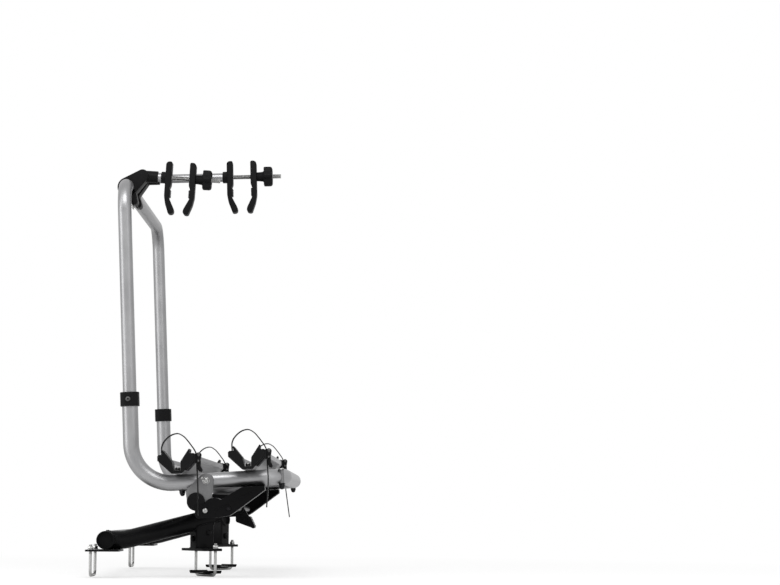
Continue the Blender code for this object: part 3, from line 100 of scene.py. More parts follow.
# Sizes shared with the CAD, in metres and radians
TILT_AXIS_Z = joints["platform_tilt"]["pos_m"][2]
PLATFORM_RISE = math.radians(3.75)
LEG_TILT = math.radians(1.25)
PLATFORM_HEIGHT = 0.044
FRAME_RADIUS = 0.0175
FRAME_HALF_WIDTH = 0.435
HEEL_X = -0.139
HEEL_RADIUS = 0.089
FRONT_BAR_X = 0.1923
FRONT_CORNER_RADIUS = 0.060
JOINT_HEIGHT = 0.233
HOOP_RADIUS = 0.015
HOOP_BAR_HEIGHT = 0.715
HOOP_CORNER_RADIUS = 0.060
SPIGOT_LENGTH = 0.055
BASE_RADIUS = 0.020
REAR_TUBE_X = -0.198
REAR_TUBE_Z = 0.0243
REAR_TUBE_HALF_LENGTH = 0.440
BASE_SPLAY = math.radians(30)
DIAGONAL_SLOPE = math.radians(15.1)
DIAGONAL_KNEE_X = -0.161
DIAGONAL_KNEE_RADIUS = 0.120
DIAGONAL_FRONT_X = 0.022
POST_X = 0.0035
POST_Y = 0.300
PLATE_TOP = {"front": 0.0056, "rear": 0.004}
CROSS_RADIUS = 0.015
PLATE_INNER_Y = 0.4528
PLATE_OUTER_Y = 0.4568
CAP_OUTER_Y = 0.4621
WEB_OUTER_Y = 0.4654
BOLT_RADIUS = 0.004
CLEARANCE = 0.0003
RAIL_X = {"rear": -0.030, "front": 0.1215}
RAIL_BASE = 0.0618
RAIL_HEIGHT = 0.038
SUPPORT_Y = 0.535
SUPPORT_WING_X = 0.0403
WHEEL_PLACES = {f"{end}_{name}": (x, side) for end, x in RAIL_X.items() for name, side in SIDES.items()}
ARM_FROM_SIDE = {"short": 0.095, "long": 0.165}
ARM_RISE = {"short": math.radians(-3.2), "long": math.radians(1.8)}
ARM_LIFT = 0.029
JAW_X = {"short": 0.097, "long": 0.234}
ARM_TUBE_RADIUS = 0.010
ARM_TUBE_GAP = 0.0103
JAW_OPENING = 0.040
JAW_THICKNESS = 0.014

# Sides of a round piece, and the turn from ring to ring in a bend
FINE = 64
BEND_STEP = math.radians(4)

# Directions of the platform and of the latch shaft that it carries
PLATFORM = Matrix.Translation((0, 0, TILT_AXIS_Z)) @ Matrix.Rotation(-PLATFORM_RISE, 4, "Y")
LATCH = PLATFORM @ Matrix.Translation((0.0709, 0, -0.0195))
WORLD = Matrix.Identity(4)


def leg_x(height):
    """Place of a leg's axis at a height above the tilt axis, in the platform's directions."""
    return HEEL_X + (height - PLATFORM_HEIGHT) * math.tan(LEG_TILT)


def diagonal_y(x):
    """Distance of a diagonal tube's axis from the centre line."""
    return POST_Y + (POST_X - x) * math.tan(BASE_SPLAY)


def diagonal_height(x):
    """Height of a diagonal tube's axis in its straight stretch."""
    return REAR_TUBE_Z + (x - DIAGONAL_KNEE_X) * math.tan(DIAGONAL_SLOPE)


def wheel_place(name):
    """Directions of a wheel support, from the middle of its rail's underside."""
    x, side = WHEEL_PLACES[name]
    return PLATFORM @ Matrix.Translation((x, side * SUPPORT_Y, RAIL_BASE))


def arm_axis(arm):
    """Directions of a holder arm, from the axis of the hoop's top bar."""
    place = (leg_x(HOOP_BAR_HEIGHT), ARM_FROM_SIDE[arm] - FRAME_HALF_WIDTH, HOOP_BAR_HEIGHT)
    return PLATFORM @ Matrix.Translation(place) @ Matrix.Rotation(PLATFORM_RISE - ARM_RISE[arm], 4, "Y")


def jaw_place(arm):
    """Directions of a holder arm's jaws, from the fixed jaw's gripping face."""
    return arm_axis(arm) @ Matrix.Translation((JAW_X[arm], 0, ARM_LIFT))


def body_of(node):
    """Body that carries a CAD node."""
    return nodes[node]["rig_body"]


def span(side, inner, outer):
    """Two distances from the centre line on one side, as a low and a high Y."""
    return sorted((side * inner, side * outer))


# Materials

def group_of(name, inputs, outputs):
    """Empty node group with its sockets; returns the group, its input node and its output node."""
    group = bpy.data.node_groups.new(name, "ShaderNodeTree")
    for socket, kind in inputs:
        group.interface.new_socket(name=socket, in_out="INPUT", socket_type=kind)
    for socket, kind in outputs:
        group.interface.new_socket(name=socket, in_out="OUTPUT", socket_type=kind)
    entry = group.nodes.new("NodeGroupInput")
    leave = group.nodes.new("NodeGroupOutput")
    return group, entry, leave


def noise(tree, vector, scale, detail=3.0, roughness=0.55):
    """Noise texture read at a vector; returns its factor."""
    texture = tree.nodes.new("ShaderNodeTexNoise")
    texture.inputs["Scale"].default_value = scale
    texture.inputs["Detail"].default_value = detail
    texture.inputs["Roughness"].default_value = roughness
    tree.links.new(vector, texture.inputs["Vector"])
    return texture.outputs["Fac"]


def stretched(tree, vector, scale):
    """Vector scaled unevenly, for streaks."""
    mapping = tree.nodes.new("ShaderNodeMapping")
    mapping.inputs["Scale"].default_value = scale
    tree.links.new(vector, mapping.inputs["Vector"])
    return mapping.outputs["Vector"]


def math_node(tree, operation, first, second=None, third=None):
    """Math node fed by sockets or numbers."""
    node = tree.nodes.new("ShaderNodeMath")
    node.operation = operation
    for socket, value in zip(node.inputs, (first, second, third)):
        if value is None:
            continue
        if isinstance(value, (int, float)):
            socket.default_value = value
        else:
            tree.links.new(value, socket)
    return node.outputs["Value"]


def ranged(tree, value, low=0.0, high=1.0, to_low=0.0, to_high=1.0):
    """Value carried from one range to another, held at both ends."""
    node = tree.nodes.new("ShaderNodeMapRange")
    for socket, number in zip(("From Min", "From Max", "To Min", "To Max"), (low, high, to_low, to_high)):
        node.inputs[socket].default_value = number
    tree.links.new(value, node.inputs["Value"])
    return node.outputs["Result"]


def mixed(tree, factor, first, second):
    """Colour between two colours."""
    node = tree.nodes.new("ShaderNodeMix")
    node.data_type = "RGBA"
    tree.links.new(factor, node.inputs["Factor"])
    for socket, colour in ((node.inputs[6], first), (node.inputs[7], second)):
        if isinstance(colour, tuple):
            socket.default_value = (*colour, 1)
        else:
            tree.links.new(colour, socket)
    return node.outputs[2]


def handling_marks():
    """Shared group: soft blotches and dust, from the place on the piece."""
    group, entry, leave = group_of(
        "handling_marks",
        [("Place", "NodeSocketVector")],
        [("Blotch", "NodeSocketFloat"), ("Dust", "NodeSocketFloat")])
    place = entry.outputs["Place"]
    blotch = ranged(group, noise(group, place, scale=14.0, detail=4.0), 0.35, 0.7)
    dust = ranged(group, noise(group, place, scale=60.0, detail=5.0, roughness=0.7), 0.5, 0.8)
    group.links.new(blotch, leave.inputs["Blotch"])
    group.links.new(dust, leave.inputs["Dust"])
    return group


def edge_wear():
    """Shared group: how far a spot lies on a sharp outer edge, broken up by noise."""
    group, entry, leave = group_of(
        "edge_wear",
        [("Place", "NodeSocketVector")],
        [("Edge", "NodeSocketFloat")])
    geometry = group.nodes.new("ShaderNodeNewGeometry")
    softened_edge = group.nodes.new("ShaderNodeBevel")
    softened_edge.samples = 4
    softened_edge.inputs["Radius"].default_value = 0.0011
    turned_away = group.nodes.new("ShaderNodeVectorMath")
    turned_away.operation = "DOT_PRODUCT"
    group.links.new(softened_edge.outputs["Normal"], turned_away.inputs[0])
    group.links.new(geometry.outputs["Normal"], turned_away.inputs[1])
    edge = ranged(group, turned_away.outputs["Value"], 0.82, 0.985, 1.0, 0.0)
    patches = noise(group, entry.outputs["Place"], scale=180.0, detail=4.0, roughness=0.7)
    broken = ranged(group, patches, 0.42, 0.62)
    group.links.new(math_node(group, "MULTIPLY", edge, broken), leave.inputs["Edge"])
    return group


MARKS = handling_marks()
WEAR = edge_wear()
BLACK_SHINE = 0.06
RUBBER_SHINE = 0.1

# Attribute that follows a drawn tube, and how far the lines are squeezed along each axis
DRAWN = "drawn"
ALONG_TUBE = (3.0, 1200.0, 1200.0)
ALONG_RAIL = (900.0, 3.0, 900.0)
EVERY_WAY = (260.0, 260.0, 260.0)


def finish_named(name):
    """New material; returns it with its tree, its shader and its place vector."""
    material = bpy.data.materials.new(name)
    material.use_nodes = True
    tree = material.node_tree
    coordinates = tree.nodes.new("ShaderNodeTexCoord")
    return material, tree, tree.nodes["Principled BSDF"], coordinates.outputs["Object"]


def effect(tree, group, place):
    """Shared group placed in a material; returns its outputs."""
    node = tree.nodes.new("ShaderNodeGroup")
    node.node_tree = group
    tree.links.new(place, node.inputs["Place"])
    return node.outputs


def surfaced(tree, shader, colour, rough, height, depth, strength):
    """Colour, roughness and relief of a finish; the relief comes from a height."""
    tree.links.new(colour, shader.inputs["Base Color"])
    tree.links.new(rough, shader.inputs["Roughness"])
    bump = tree.nodes.new("ShaderNodeBump")
    bump.inputs["Distance"].default_value = depth
    bump.inputs["Strength"].default_value = strength
    tree.links.new(height, bump.inputs["Height"])
    tree.links.new(bump.outputs["Normal"], shader.inputs["Normal"])


def satin_aluminium(name, dark, pale, line_scale, along=None):
    """Anodised tube or profile: fine drawing lines, faint blotches."""
    material, tree, shader, place = finish_named(name)
    blotch = effect(tree, MARKS, place)["Blotch"]
    source = place
    if along:
        attribute = tree.nodes.new("ShaderNodeAttribute")
        attribute.attribute_name = along
        source = attribute.outputs["Vector"]
    lines = noise(tree, stretched(tree, source, line_scale), scale=1.0, detail=4.0, roughness=0.6)
    in_lines = tuple(0.78 * value for value in dark)
    colour = mixed(tree, blotch, dark, pale)
    colour = mixed(tree, ranged(tree, lines, 0.3, 0.75, to_high=0.35), colour, in_lines)
    rough = math_node(tree, "ADD", ranged(tree, lines, 0.25, 0.75, 0.36, 0.46),
                      ranged(tree, blotch, to_high=0.06))
    shader.inputs["Metallic"].default_value = 1.0
    surfaced(tree, shader, colour, rough, lines, depth=0.00004, strength=0.35)
    return material


def powder_coat():
    """Black powder coat: fine orange peel, a little dust, and metal showing at worn edges."""
    coat, dusty, bare = (0.0034, 0.0034, 0.0037), (0.0052, 0.0052, 0.0050), (0.045, 0.045, 0.048)
    material, tree, shader, place = finish_named("black_powder_coat")
    marks = effect(tree, MARKS, place)
    worn = effect(tree, WEAR, place)["Edge"]
    colour = mixed(tree, ranged(tree, marks["Dust"], to_high=0.35), coat, dusty)
    colour = mixed(tree, ranged(tree, worn, to_high=0.25), colour, bare)
    rough = ranged(tree, marks["Blotch"], to_low=0.30, to_high=0.40)
    shader.inputs["Specular IOR Level"].default_value = BLACK_SHINE
    peel = noise(tree, place, scale=900.0, detail=2.0, roughness=0.5)
    surfaced(tree, shader, colour, rough, peel, depth=0.00006, strength=0.25)
    return material


def zinc_plating(name, dark, pale, roughness):
    """Zinc-plated steel with a soft spangle."""
    material, tree, shader, place = finish_named(name)
    spangle = noise(tree, place, scale=320.0, detail=3.0, roughness=0.6)
    colour = mixed(tree, spangle, dark, pale)
    rough = ranged(tree, spangle, 0.3, 0.7, *roughness)
    shader.inputs["Metallic"].default_value = 1.0
    surfaced(tree, shader, colour, rough, spangle, depth=0.00006, strength=0.3)
    return material


def moulded_plastic():
    """Black moulded plastic with a spark-eroded grain, paler at worn edges."""
    plain, dusty, rubbed = (0.0055, 0.0055, 0.0058), (0.0078, 0.0078, 0.0076), (0.09, 0.09, 0.09)
    material, tree, shader, place = finish_named("black_plastic")
    worn = effect(tree, WEAR, place)["Edge"]
    colour = mixed(tree, effect(tree, MARKS, place)["Dust"], plain, dusty)
    colour = mixed(tree, ranged(tree, worn, to_high=0.3), colour, rubbed)
    grain = noise(tree, place, scale=1400.0, detail=2.0, roughness=0.6)
    rough = ranged(tree, grain, 0.3, 0.7, 0.40, 0.56)
    shader.inputs["Specular IOR Level"].default_value = BLACK_SHINE
    surfaced(tree, shader, colour, rough, grain, depth=0.00005, strength=0.35)
    return material


def strap_rubber():
    """Flexible strap: dull black with paler blotches."""
    black, pale = (0.0045, 0.0045, 0.0048), (0.010, 0.010, 0.0098)
    material, tree, shader, place = finish_named("strap_rubber")
    marks = effect(tree, MARKS, place)
    colour = mixed(tree, marks["Blotch"], black, pale)
    rough = ranged(tree, marks["Dust"], to_low=0.42, to_high=0.62)
    shader.inputs["Specular IOR Level"].default_value = RUBBER_SHINE
    grain = noise(tree, place, scale=700.0, detail=2.0)
    surfaced(tree, shader, colour, rough, grain, depth=0.00008, strength=0.3)
    return material


tube_metal = satin_aluminium("satin_tube", (0.28, 0.28, 0.285), (0.34, 0.34, 0.345), ALONG_TUBE, DRAWN)
profile_metal = satin_aluminium("satin_profile", (0.26, 0.26, 0.265), (0.31, 0.31, 0.315), ALONG_RAIL)
plate_metal = satin_aluminium("satin_plate", (0.15, 0.15, 0.152), (0.19, 0.19, 0.192), EVERY_WAY)
black_coat = powder_coat()
zinc = zinc_plating("bright_zinc", (0.30, 0.30, 0.30), (0.42, 0.42, 0.41), roughness=(0.24, 0.42))
dull_zinc = zinc_plating("dull_zinc", (0.07, 0.07, 0.07), (0.11, 0.11, 0.11), roughness=(0.32, 0.48))
dark_zinc = zinc_plating("dark_zinc", (0.012, 0.012, 0.013), (0.024, 0.024, 0.025), roughness=(0.30, 0.46))
black_plastic = moulded_plastic()
strap_black = strap_rubber()


def finish_of(name):
    """Finish of a CAD node that stays on show."""
    if name.startswith("wheel_rail"):
        return profile_metal
    if name.startswith("hinge_plate"):
        return plate_metal
    if name.startswith(("lower_frame", "upper_hoop", "arm_tube")):
        return tube_metal
    if "bolt" in name or name.startswith("latch"):
        return zinc
    if name.startswith("wheel_strap"):
        return strap_black
    if name.startswith(("wheel_support", "ratchet", "cross_tube_cap", "jaw_knob", "fixed_jaw",
                        "moving_jaw", "arm_clamp", "frame_collar")):
        return black_plastic
    return black_coat


for name, node in nodes.items():
    node.data.materials.clear()
    node.data.materials.append(finish_of(name))


# Modelling helpers

def nothing_selected():
    """Object mode with nothing selected."""
    if bpy.context.object and bpy.context.object.mode != "OBJECT":
        bpy.ops.object.mode_set(mode="OBJECT")
    bpy.ops.object.select_all(action="DESELECT")


def taken_up(piece):
    """Make a piece the only selected and the active one."""
    nothing_selected()
    piece.select_set(True)
    bpy.context.view_layer.objects.active = piece


def edited(piece):
    """Enter edit mode on a piece with all of it selected."""
    taken_up(piece)
    bpy.ops.object.mode_set(mode="EDIT")
    bpy.ops.mesh.select_all(action="SELECT")


def finished(piece, name, finish, body, *replaced, place=WORLD, sharp=35):
    """Put a modelled piece in its place, give it its finish and its body."""
    taken_up(piece)
    piece.matrix_world = place @ piece.matrix_world
    bpy.ops.object.transform_apply(location=True, rotation=True, scale=True)
    piece.name = name
    piece.data.name = name
    piece.data.materials.clear()
    piece.data.materials.append(finish)
    bpy.ops.object.shade_smooth_by_angle(angle=math.radians(sharp))
    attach(piece, body)
    if replaced:
        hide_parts(*replaced)
    return piece


def merged(*pieces):
    """Several modelled pieces as one."""
    taken_up(pieces[0])
    for piece in pieces[1:]:
        piece.select_set(True)
    bpy.ops.object.join()
    return pieces[0]


def copied(piece):
    """Copy of a piece with a mesh of its own."""
    copy = piece.copy()
    copy.data = piece.data.copy()
    bpy.context.scene.collection.objects.link(copy)
    return copy


def disc(start, way, radius, sides=FINE):
    """Round start of a turned or drawn piece, facing along a direction, in edit mode."""
    nothing_selected()
    turn = Vector(way).to_track_quat("Z", "Y").to_euler()
    bpy.ops.mesh.primitive_circle_add(vertices=sides, radius=radius, fill_type="NGON",
                                      location=start, rotation=turn)
    piece = bpy.context.object
    bpy.ops.object.transform_apply(location=True, rotation=True, scale=True)
    edited(piece)
    return piece


def drawn_out(vector):
    """Extrude what is selected along a vector."""
    bpy.ops.mesh.extrude_region_move(TRANSFORM_OT_translate={"value": vector})


def faces_outwards(piece):
    """Close the modelling of a piece: every face points out."""
    bpy.ops.mesh.select_all(action="SELECT")
    bpy.ops.mesh.normals_make_consistent(inside=False)
    bpy.ops.object.mode_set(mode="OBJECT")
    return piece


def turned(start, way, stations, sides=FINE):
    """Turned piece: stations are distances along the axis with the radius there."""
    way = Vector(way).normalized()
    start = Vector(start)
    at, radius = stations[0]
    piece = disc(start + way * at, way, radius, sides)
    stepped(start, way, stations)
    return faces_outwards(piece)


def stepped(start, way, stations):
    """Draw the selected face through stations: distances along an axis with the size there."""
    for (at, size), (distance, new_size) in zip(stations, stations[1:]):
        drawn_out(way * (distance - at))
        if new_size != size:
            scale = new_size / size
            bpy.ops.transform.resize(value=(scale, scale, scale),
                                     center_override=start + way * distance)


def tube_through(corners, bend_radii, radius, sides=FINE):
    """Bent tube: straight runs between the corners, each inner one bent to its radius."""
    corners = [Vector(corner) for corner in corners]
    ways = [(b - a).normalized() for a, b in zip(corners, corners[1:])]
    piece = disc(corners[0], ways[0], radius, sides)
    at = corners[0]
    for corner, before, after, bend in zip(corners[1:], ways, ways[1:], bend_radii):
        turn = before.angle(after)
        entry = corner - before * bend * math.tan(turn / 2)
        inward = (after - before * before.dot(after)).normalized()
        drawn_out(entry - at)
        bpy.ops.mesh.spin(steps=math.ceil(turn / BEND_STEP), angle=-turn,
                          center=entry + inward * bend, axis=before.cross(after).normalized())
        at = corner + after * bend * math.tan(turn / 2)
    drawn_out(corners[-1] - at)
    return piece


def mouth(way, wall, depth):
    """Open the selected end of a tube: its wall's thickness, then the bore."""
    bpy.ops.mesh.inset(thickness=wall, depth=0)
    drawn_out(Vector(way).normalized() * -depth)


def rod(start, way, length, radius):
    """Plain round rod, which serves as a cutter for a hole."""
    return turned(start, way, [(0, radius), (length, radius)])


def both_ends(half):
    """Stations of a piece with two like ends, from those of its first half."""
    return half + [(-at, size) for at, size in reversed(half)]


def marked_along(piece, sides=FINE):
    """Attribute with the place along and round a drawn tube, for its drawing lines."""
    places = piece.data.attributes.new(DRAWN, "FLOAT_VECTOR", "POINT")
    points = [vertex.co.copy() for vertex in piece.data.vertices]
    distance = 0.0
    last = None
    for first in range(0, len(points) - sides + 1, sides):
        ring = points[first:first + sides]
        middle = sum(ring, Vector()) / sides
        distance += (middle - last).length if last else 0.0
        last = middle
        for k, point in enumerate(ring):
            turn = 2 * math.pi * k / sides
            reach = (point - middle).length
            places.data[first + k].vector = (distance, reach * math.cos(turn), reach * math.sin(turn))
    return piece


def outline_face(points, at, plane="XZ"):
    """Flat face with a given outline, in edit mode; the plane's third coordinate is at."""
    nothing_selected()
    bpy.ops.mesh.primitive_circle_add(vertices=len(points), radius=1, fill_type="NGON")
    piece = bpy.context.object
    for vertex, (a, b) in zip(piece.data.vertices, points):
        vertex.co = (a, at, b) if plane == "XZ" else (at, a, b)
    edited(piece)
    return piece


def plate(points, low, high, edge=0.0006, segments=2):
    """Plate cut to an outline seen from the side, with its edges broken."""
    piece = outline_face(points, low)
    drawn_out((0, high - low, 0))
    faces_outwards(piece)
    return edge_rounded(piece, edge, segments)


def edge_rounded(piece, width, segments=2, angle=33):
    """Round the sharp edges of a piece."""
    taken_up(piece)
    bevel = piece.modifiers.new("edges", "BEVEL")
    bevel.width = width
    bevel.segments = segments
    bevel.limit_method = "ANGLE"
    bevel.angle_limit = math.radians(angle)
    bevel.use_clamp_overlap = False
    bpy.ops.object.modifier_apply(modifier=bevel.name)
    return piece


def drilled(piece, *cutters):
    """Take cutters away from a piece."""
    for cutter in cutters:
        taken_up(piece)
        hole = piece.modifiers.new("hole", "BOOLEAN")
        hole.object = cutter
        bpy.ops.object.modifier_apply(modifier=hole.name)
        bpy.data.objects.remove(cutter)
    return piece


def rounded(node_name, width):
    """Copy of a CAD node with its edges rounded; it takes the node's place."""
    node = nodes[node_name]
    piece = copied(node)
    piece.parent = None
    for key in list(piece.keys()):
        del piece[key]
    edited(piece)
    bpy.ops.mesh.customdata_custom_splitnormals_clear()
    bpy.ops.mesh.remove_doubles(threshold=0.00001)
    bpy.ops.mesh.dissolve_limited(angle_limit=math.radians(1))
    bpy.ops.object.mode_set(mode="OBJECT")
    edge_rounded(piece, width)
    finished(piece, f"{node_name}_rounded", finish_of(node_name), node["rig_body"], node_name)
    flat = piece.modifiers.new("flat_faces", "WEIGHTED_NORMAL")
    flat.keep_sharp = True
    bpy.ops.object.modifier_apply(modifier=flat.name)


def arc(x, z, radius, start, end, steps):
    """Points on an arc, in degrees."""
    turns = [math.radians(start + (end - start) * k / steps) for k in range(steps + 1)]
    return [(x + radius * math.cos(turn), z + radius * math.sin(turn)) for turn in turns]


def hull(*circles, count=64):
    """Outline of a band drawn tight round several circles."""
    points = sorted({(x + r * math.cos(2 * math.pi * k / count), z + r * math.sin(2 * math.pi * k / count))
                     for x, z, r in circles for k in range(count)})
    halves = []
    for line in (points, points[::-1]):
        half = []
        for point in line:
            while len(half) > 1 and cross(half[-2], half[-1], point) <= 0:
                half.pop()
            half.append(point)
        halves += half[:-1]
    return halves


def cross(a, b, c):
    """Twice the signed area of the triangle of three points."""
    return (b[0] - a[0]) * (c[1] - a[1]) - (b[1] - a[1]) * (c[0] - a[0])


# Tubes

def frame_tubes():
    """Silver lower tube and hoop, bent from round tube."""
    def at(x, side, height):
        return (x, side * FRAME_HALF_WIDTH, height)

    joint_x = leg_x(JOINT_HEIGHT)
    corners = [at(joint_x, -1, JOINT_HEIGHT), at(HEEL_X, -1, PLATFORM_HEIGHT),
               at(FRONT_BAR_X, -1, PLATFORM_HEIGHT), at(FRONT_BAR_X, 1, PLATFORM_HEIGHT),
               at(HEEL_X, 1, PLATFORM_HEIGHT), at(joint_x, 1, JOINT_HEIGHT)]
    radii = [HEEL_RADIUS, FRONT_CORNER_RADIUS, FRONT_CORNER_RADIUS, HEEL_RADIUS]
    lower = marked_along(faces_outwards(tube_through(corners, radii, FRAME_RADIUS)))
    finished(lower, "lower_tube_drawn", tube_metal, "platform", "lower_frame_tube", place=PLATFORM)
    low = JOINT_HEIGHT - SPIGOT_LENGTH * math.cos(LEG_TILT)
    corners = [at(leg_x(low), -1, low), at(leg_x(HOOP_BAR_HEIGHT), -1, HOOP_BAR_HEIGHT),
               at(leg_x(HOOP_BAR_HEIGHT), 1, HOOP_BAR_HEIGHT), at(leg_x(low), 1, low)]
    hoop = marked_along(faces_outwards(tube_through(corners, [HOOP_CORNER_RADIUS] * 2, HOOP_RADIUS)))
    finished(hoop, "hoop_tube_drawn", tube_metal, "platform", "upper_hoop", place=PLATFORM)


def base_tubes():
    """Black rear cross tube with open ends, and the tube that the platform tilts on."""
    wall, edge, recess, hinge_recess = 0.003, 0.0005, 0.008, 0.025
    ends = REAR_TUBE_HALF_LENGTH
    bore = BASE_RADIUS - wall
    rear = turned((REAR_TUBE_X, 0, REAR_TUBE_Z), LEFT, both_ends([
        (recess - ends, bore), (edge - ends, bore), (-ends, bore + edge), (-ends, BASE_RADIUS - edge),
        (edge - ends, BASE_RADIUS)]))
    finished(rear, "rear_cross_tube_smooth", black_coat, "base", "rear_cross_tube")
    half = PLATE_OUTER_Y + 0.002
    bore = CROSS_RADIUS - wall
    hinge = turned((0, 0, TILT_AXIS_Z), LEFT, both_ends([
        (hinge_recess - half, bore), (-half, bore), (-half, CROSS_RADIUS)]))
    finished(hinge, "hinge_tube_smooth", black_coat, "base", "hinge_cross_tube")


def diagonal_tubes():
    """Black tubes from the rear cross tube to the posts, with a cradle for the hinge tube."""
    inset, wall, depth = 0.002, 0.003, 0.006
    cradle_x, cradle_y = 0.012, 0.015
    seat = CROSS_RADIUS + CLEARANCE
    edge = math.degrees(math.acos(cradle_x / seat))

    def at(side, x, z):
        return (x, side * diagonal_y(x), z)

    for name, side in SIDES.items():
        corners = [at(side, REAR_TUBE_X + inset, REAR_TUBE_Z), at(side, DIAGONAL_KNEE_X, REAR_TUBE_Z),
                   at(side, DIAGONAL_FRONT_X, diagonal_height(DIAGONAL_FRONT_X))]
        tube = tube_through(corners, [DIAGONAL_KNEE_RADIUS], BASE_RADIUS)
        mouth((1, -side * math.tan(BASE_SPLAY), math.tan(DIAGONAL_SLOPE)), wall, depth)
        faces_outwards(tube)
        edge_rounded(tube, 0.0004)
        outline = [(-cradle_x, diagonal_height(0)), (cradle_x, diagonal_height(0))]
        outline += arc(0, TILT_AXIS_Z, seat, -edge, edge - 180, steps=16)
        y = side * diagonal_y(0)
        cradle = plate(outline, y - cradle_y, y + cradle_y, edge=0.0008)
        finished(merged(tube, cradle), f"diagonal_tube_smooth_{name}", black_coat, "base",
                 f"diagonal_tube_{name}")


def weld_bead(name, path, place=WORLD):
    """Rippled bead of weld along a closed path."""
    radius, around = 0.0021, 10
    ripple, ripple_share = 4, 0.16
    drift, drift_share = 0.71, 0.08
    count = len(path)
    nothing_selected()
    bpy.ops.mesh.primitive_torus_add(major_segments=count, minor_segments=around)
    bead = bpy.context.object
    for k, point in enumerate(path):
        way = (path[(k + 1) % count] - path[k - 1]).normalized()
        side = way.orthogonal().normalized()
        other = way.cross(side)
        swell = radius * (1 + ripple_share * math.sin(2 * math.pi * k / ripple)
                          + drift_share * math.sin(k * drift))
        for m in range(around):
            turn = 2 * math.pi * m / around
            place_round = side * math.cos(turn) + other * math.sin(turn)
            bead.data.vertices[k * around + m].co = point + place_round * swell
    edited(bead)
    faces_outwards(bead)
    finished(bead, name, black_coat, "base", place=place, sharp=80)


def evenly(corners, step):
    """Closed path through corners with a point about every step."""
    path = []
    for a, b in zip(corners, corners[1:] + corners[:1]):
        a, b = Vector(a), Vector(b)
        count = max(1, round((b - a).length / step))
        path += [a.lerp(b, k / count) for k in range(count)]
    return path


def rear_weld(name, side):
    """Bead where a diagonal tube runs into the rear cross tube."""
    count = 130
    root = Vector((REAR_TUBE_X, side * diagonal_y(REAR_TUBE_X), REAR_TUBE_Z))
    forward = Vector((1, -side * math.tan(BASE_SPLAY), 0)).normalized()
    across = Vector(UP).cross(forward)
    ring = []
    for k in range(count):
        turn = 2 * math.pi * k / count
        offset = across * math.cos(turn) * BASE_RADIUS + Vector((0, 0, math.sin(turn) * BASE_RADIUS))
        reach = math.sqrt(max(BASE_RADIUS ** 2 - offset.z ** 2, 0))
        ring.append(root + offset + forward * ((reach - offset.x) / forward.x))
    weld_bead(f"rear_weld_{name}", ring)


def post_welds(name, side):
    """Beads round a post: on its foot plate, and where its diagonal tube lies in it."""
    half_x, half_y, corner, step = 0.0222, 0.0182, 0.004, 0.0011
    post = Matrix.Translation((POST_X, side * POST_Y, 0)) @ Matrix.Rotation(-side * BASE_SPLAY, 4, "Z")
    outline = []
    for x, y, start in ((1, -1, -90), (1, 1, 0), (-1, 1, 90), (-1, -1, 180)):
        outline += arc(x * (half_x - corner), y * (half_y - corner), corner, start, start + 90, 4)
    foot = evenly([(x, y, PLATE_TOP["front"]) for x, y in outline], step)
    weld_bead(f"foot_weld_{name}", foot, post)
    slope = math.tan(DIAGONAL_SLOPE) * math.cos(BASE_SPLAY)
    top = []
    for point in foot:
        height = diagonal_height(POST_X) + point.x * slope
        height -= math.sqrt(BASE_RADIUS ** 2 - min(abs(point.y), BASE_RADIUS - 0.0001) ** 2)
        top.append(Vector((point.x, point.y, height)))
    weld_bead(f"post_weld_{name}", top, post)


def base_welds():
    """Welds on both sides of the base."""
    for name, side in SIDES.items():
        rear_weld(name, side)
        post_welds(name, side)


# Bolts, nuts and washers

NUT_FLATS = 0.0125
NUT_HEIGHT = 0.0048
WASHER_THICKNESS = 0.0012


def button_head(radius, height):
    """Stations of a button head, from the recess outwards and down to its seat."""
    rise = [(-height * math.cos(turn), radius * (0.45 + 0.55 * math.sin(turn)))
            for turn in (math.radians(15 * k) for k in range(1, 7))]
    return [(-height * 0.45, radius * 0.30), (-height * 0.98, radius * 0.34)] + rise


def button_bolt(start, way, radius, height, grip, shank):
    """Button-head bolt with a socket; start is under the head."""
    return turned(start, way, button_head(radius, height) + [(0, radius), (0, shank), (grip, shank)], 32)


def washer(start, way, radius, bore, thickness=WASHER_THICKNESS):
    """Flat washer with broken edges."""
    edge = 0.0002
    return turned(start, way, [(edge / 2, bore), (0, radius - CLEARANCE), (edge, radius),
                               (thickness - edge, radius), (thickness, radius - CLEARANCE),
                               (thickness, bore)], 32)


def hexagon_nut(start, way, flats, height, bore):
    """Hexagon nut with chamfered corners."""
    corner = flats / math.sqrt(3)
    nut = turned(start, way, [(0, corner), (height, corner)], 6)
    edited(nut)
    bpy.ops.mesh.bevel(offset=0.0004, segments=2)
    faces_outwards(nut)
    collar = turned(start, way, [(-0.0003, bore), (-0.0003, flats * 0.48), (0, flats * 0.499),
                                 (height, flats * 0.499), (height + 0.0003, flats * 0.48),
                                 (height + 0.0003, bore)], 32)
    return merged(nut, collar)


def cap_nut(start, way, flats, height):
    """Dome cap nut on a flange."""
    dome = flats * 0.42
    rise = [(height * 0.45 + (height * 0.55) * math.sin(turn), dome * math.cos(turn) + 0.0004)
            for turn in (math.radians(12 * k) for k in range(8))]
    return merged(hexagon_nut(start, way, flats, height * 0.45, BOLT_RADIUS),
                  turned(start, way, [(0, dome)] + rise, 32))


def thread(length, radius, pitch=0.00125):
    """Stations of a threaded end, beginning at its root."""
    steps = round(length / pitch)
    stations = []
    for k in range(steps):
        stations += [(k * pitch, radius), ((k + 0.5) * pitch, radius - 0.0005)]
    return stations + [(steps * pitch, radius - 0.0008)]


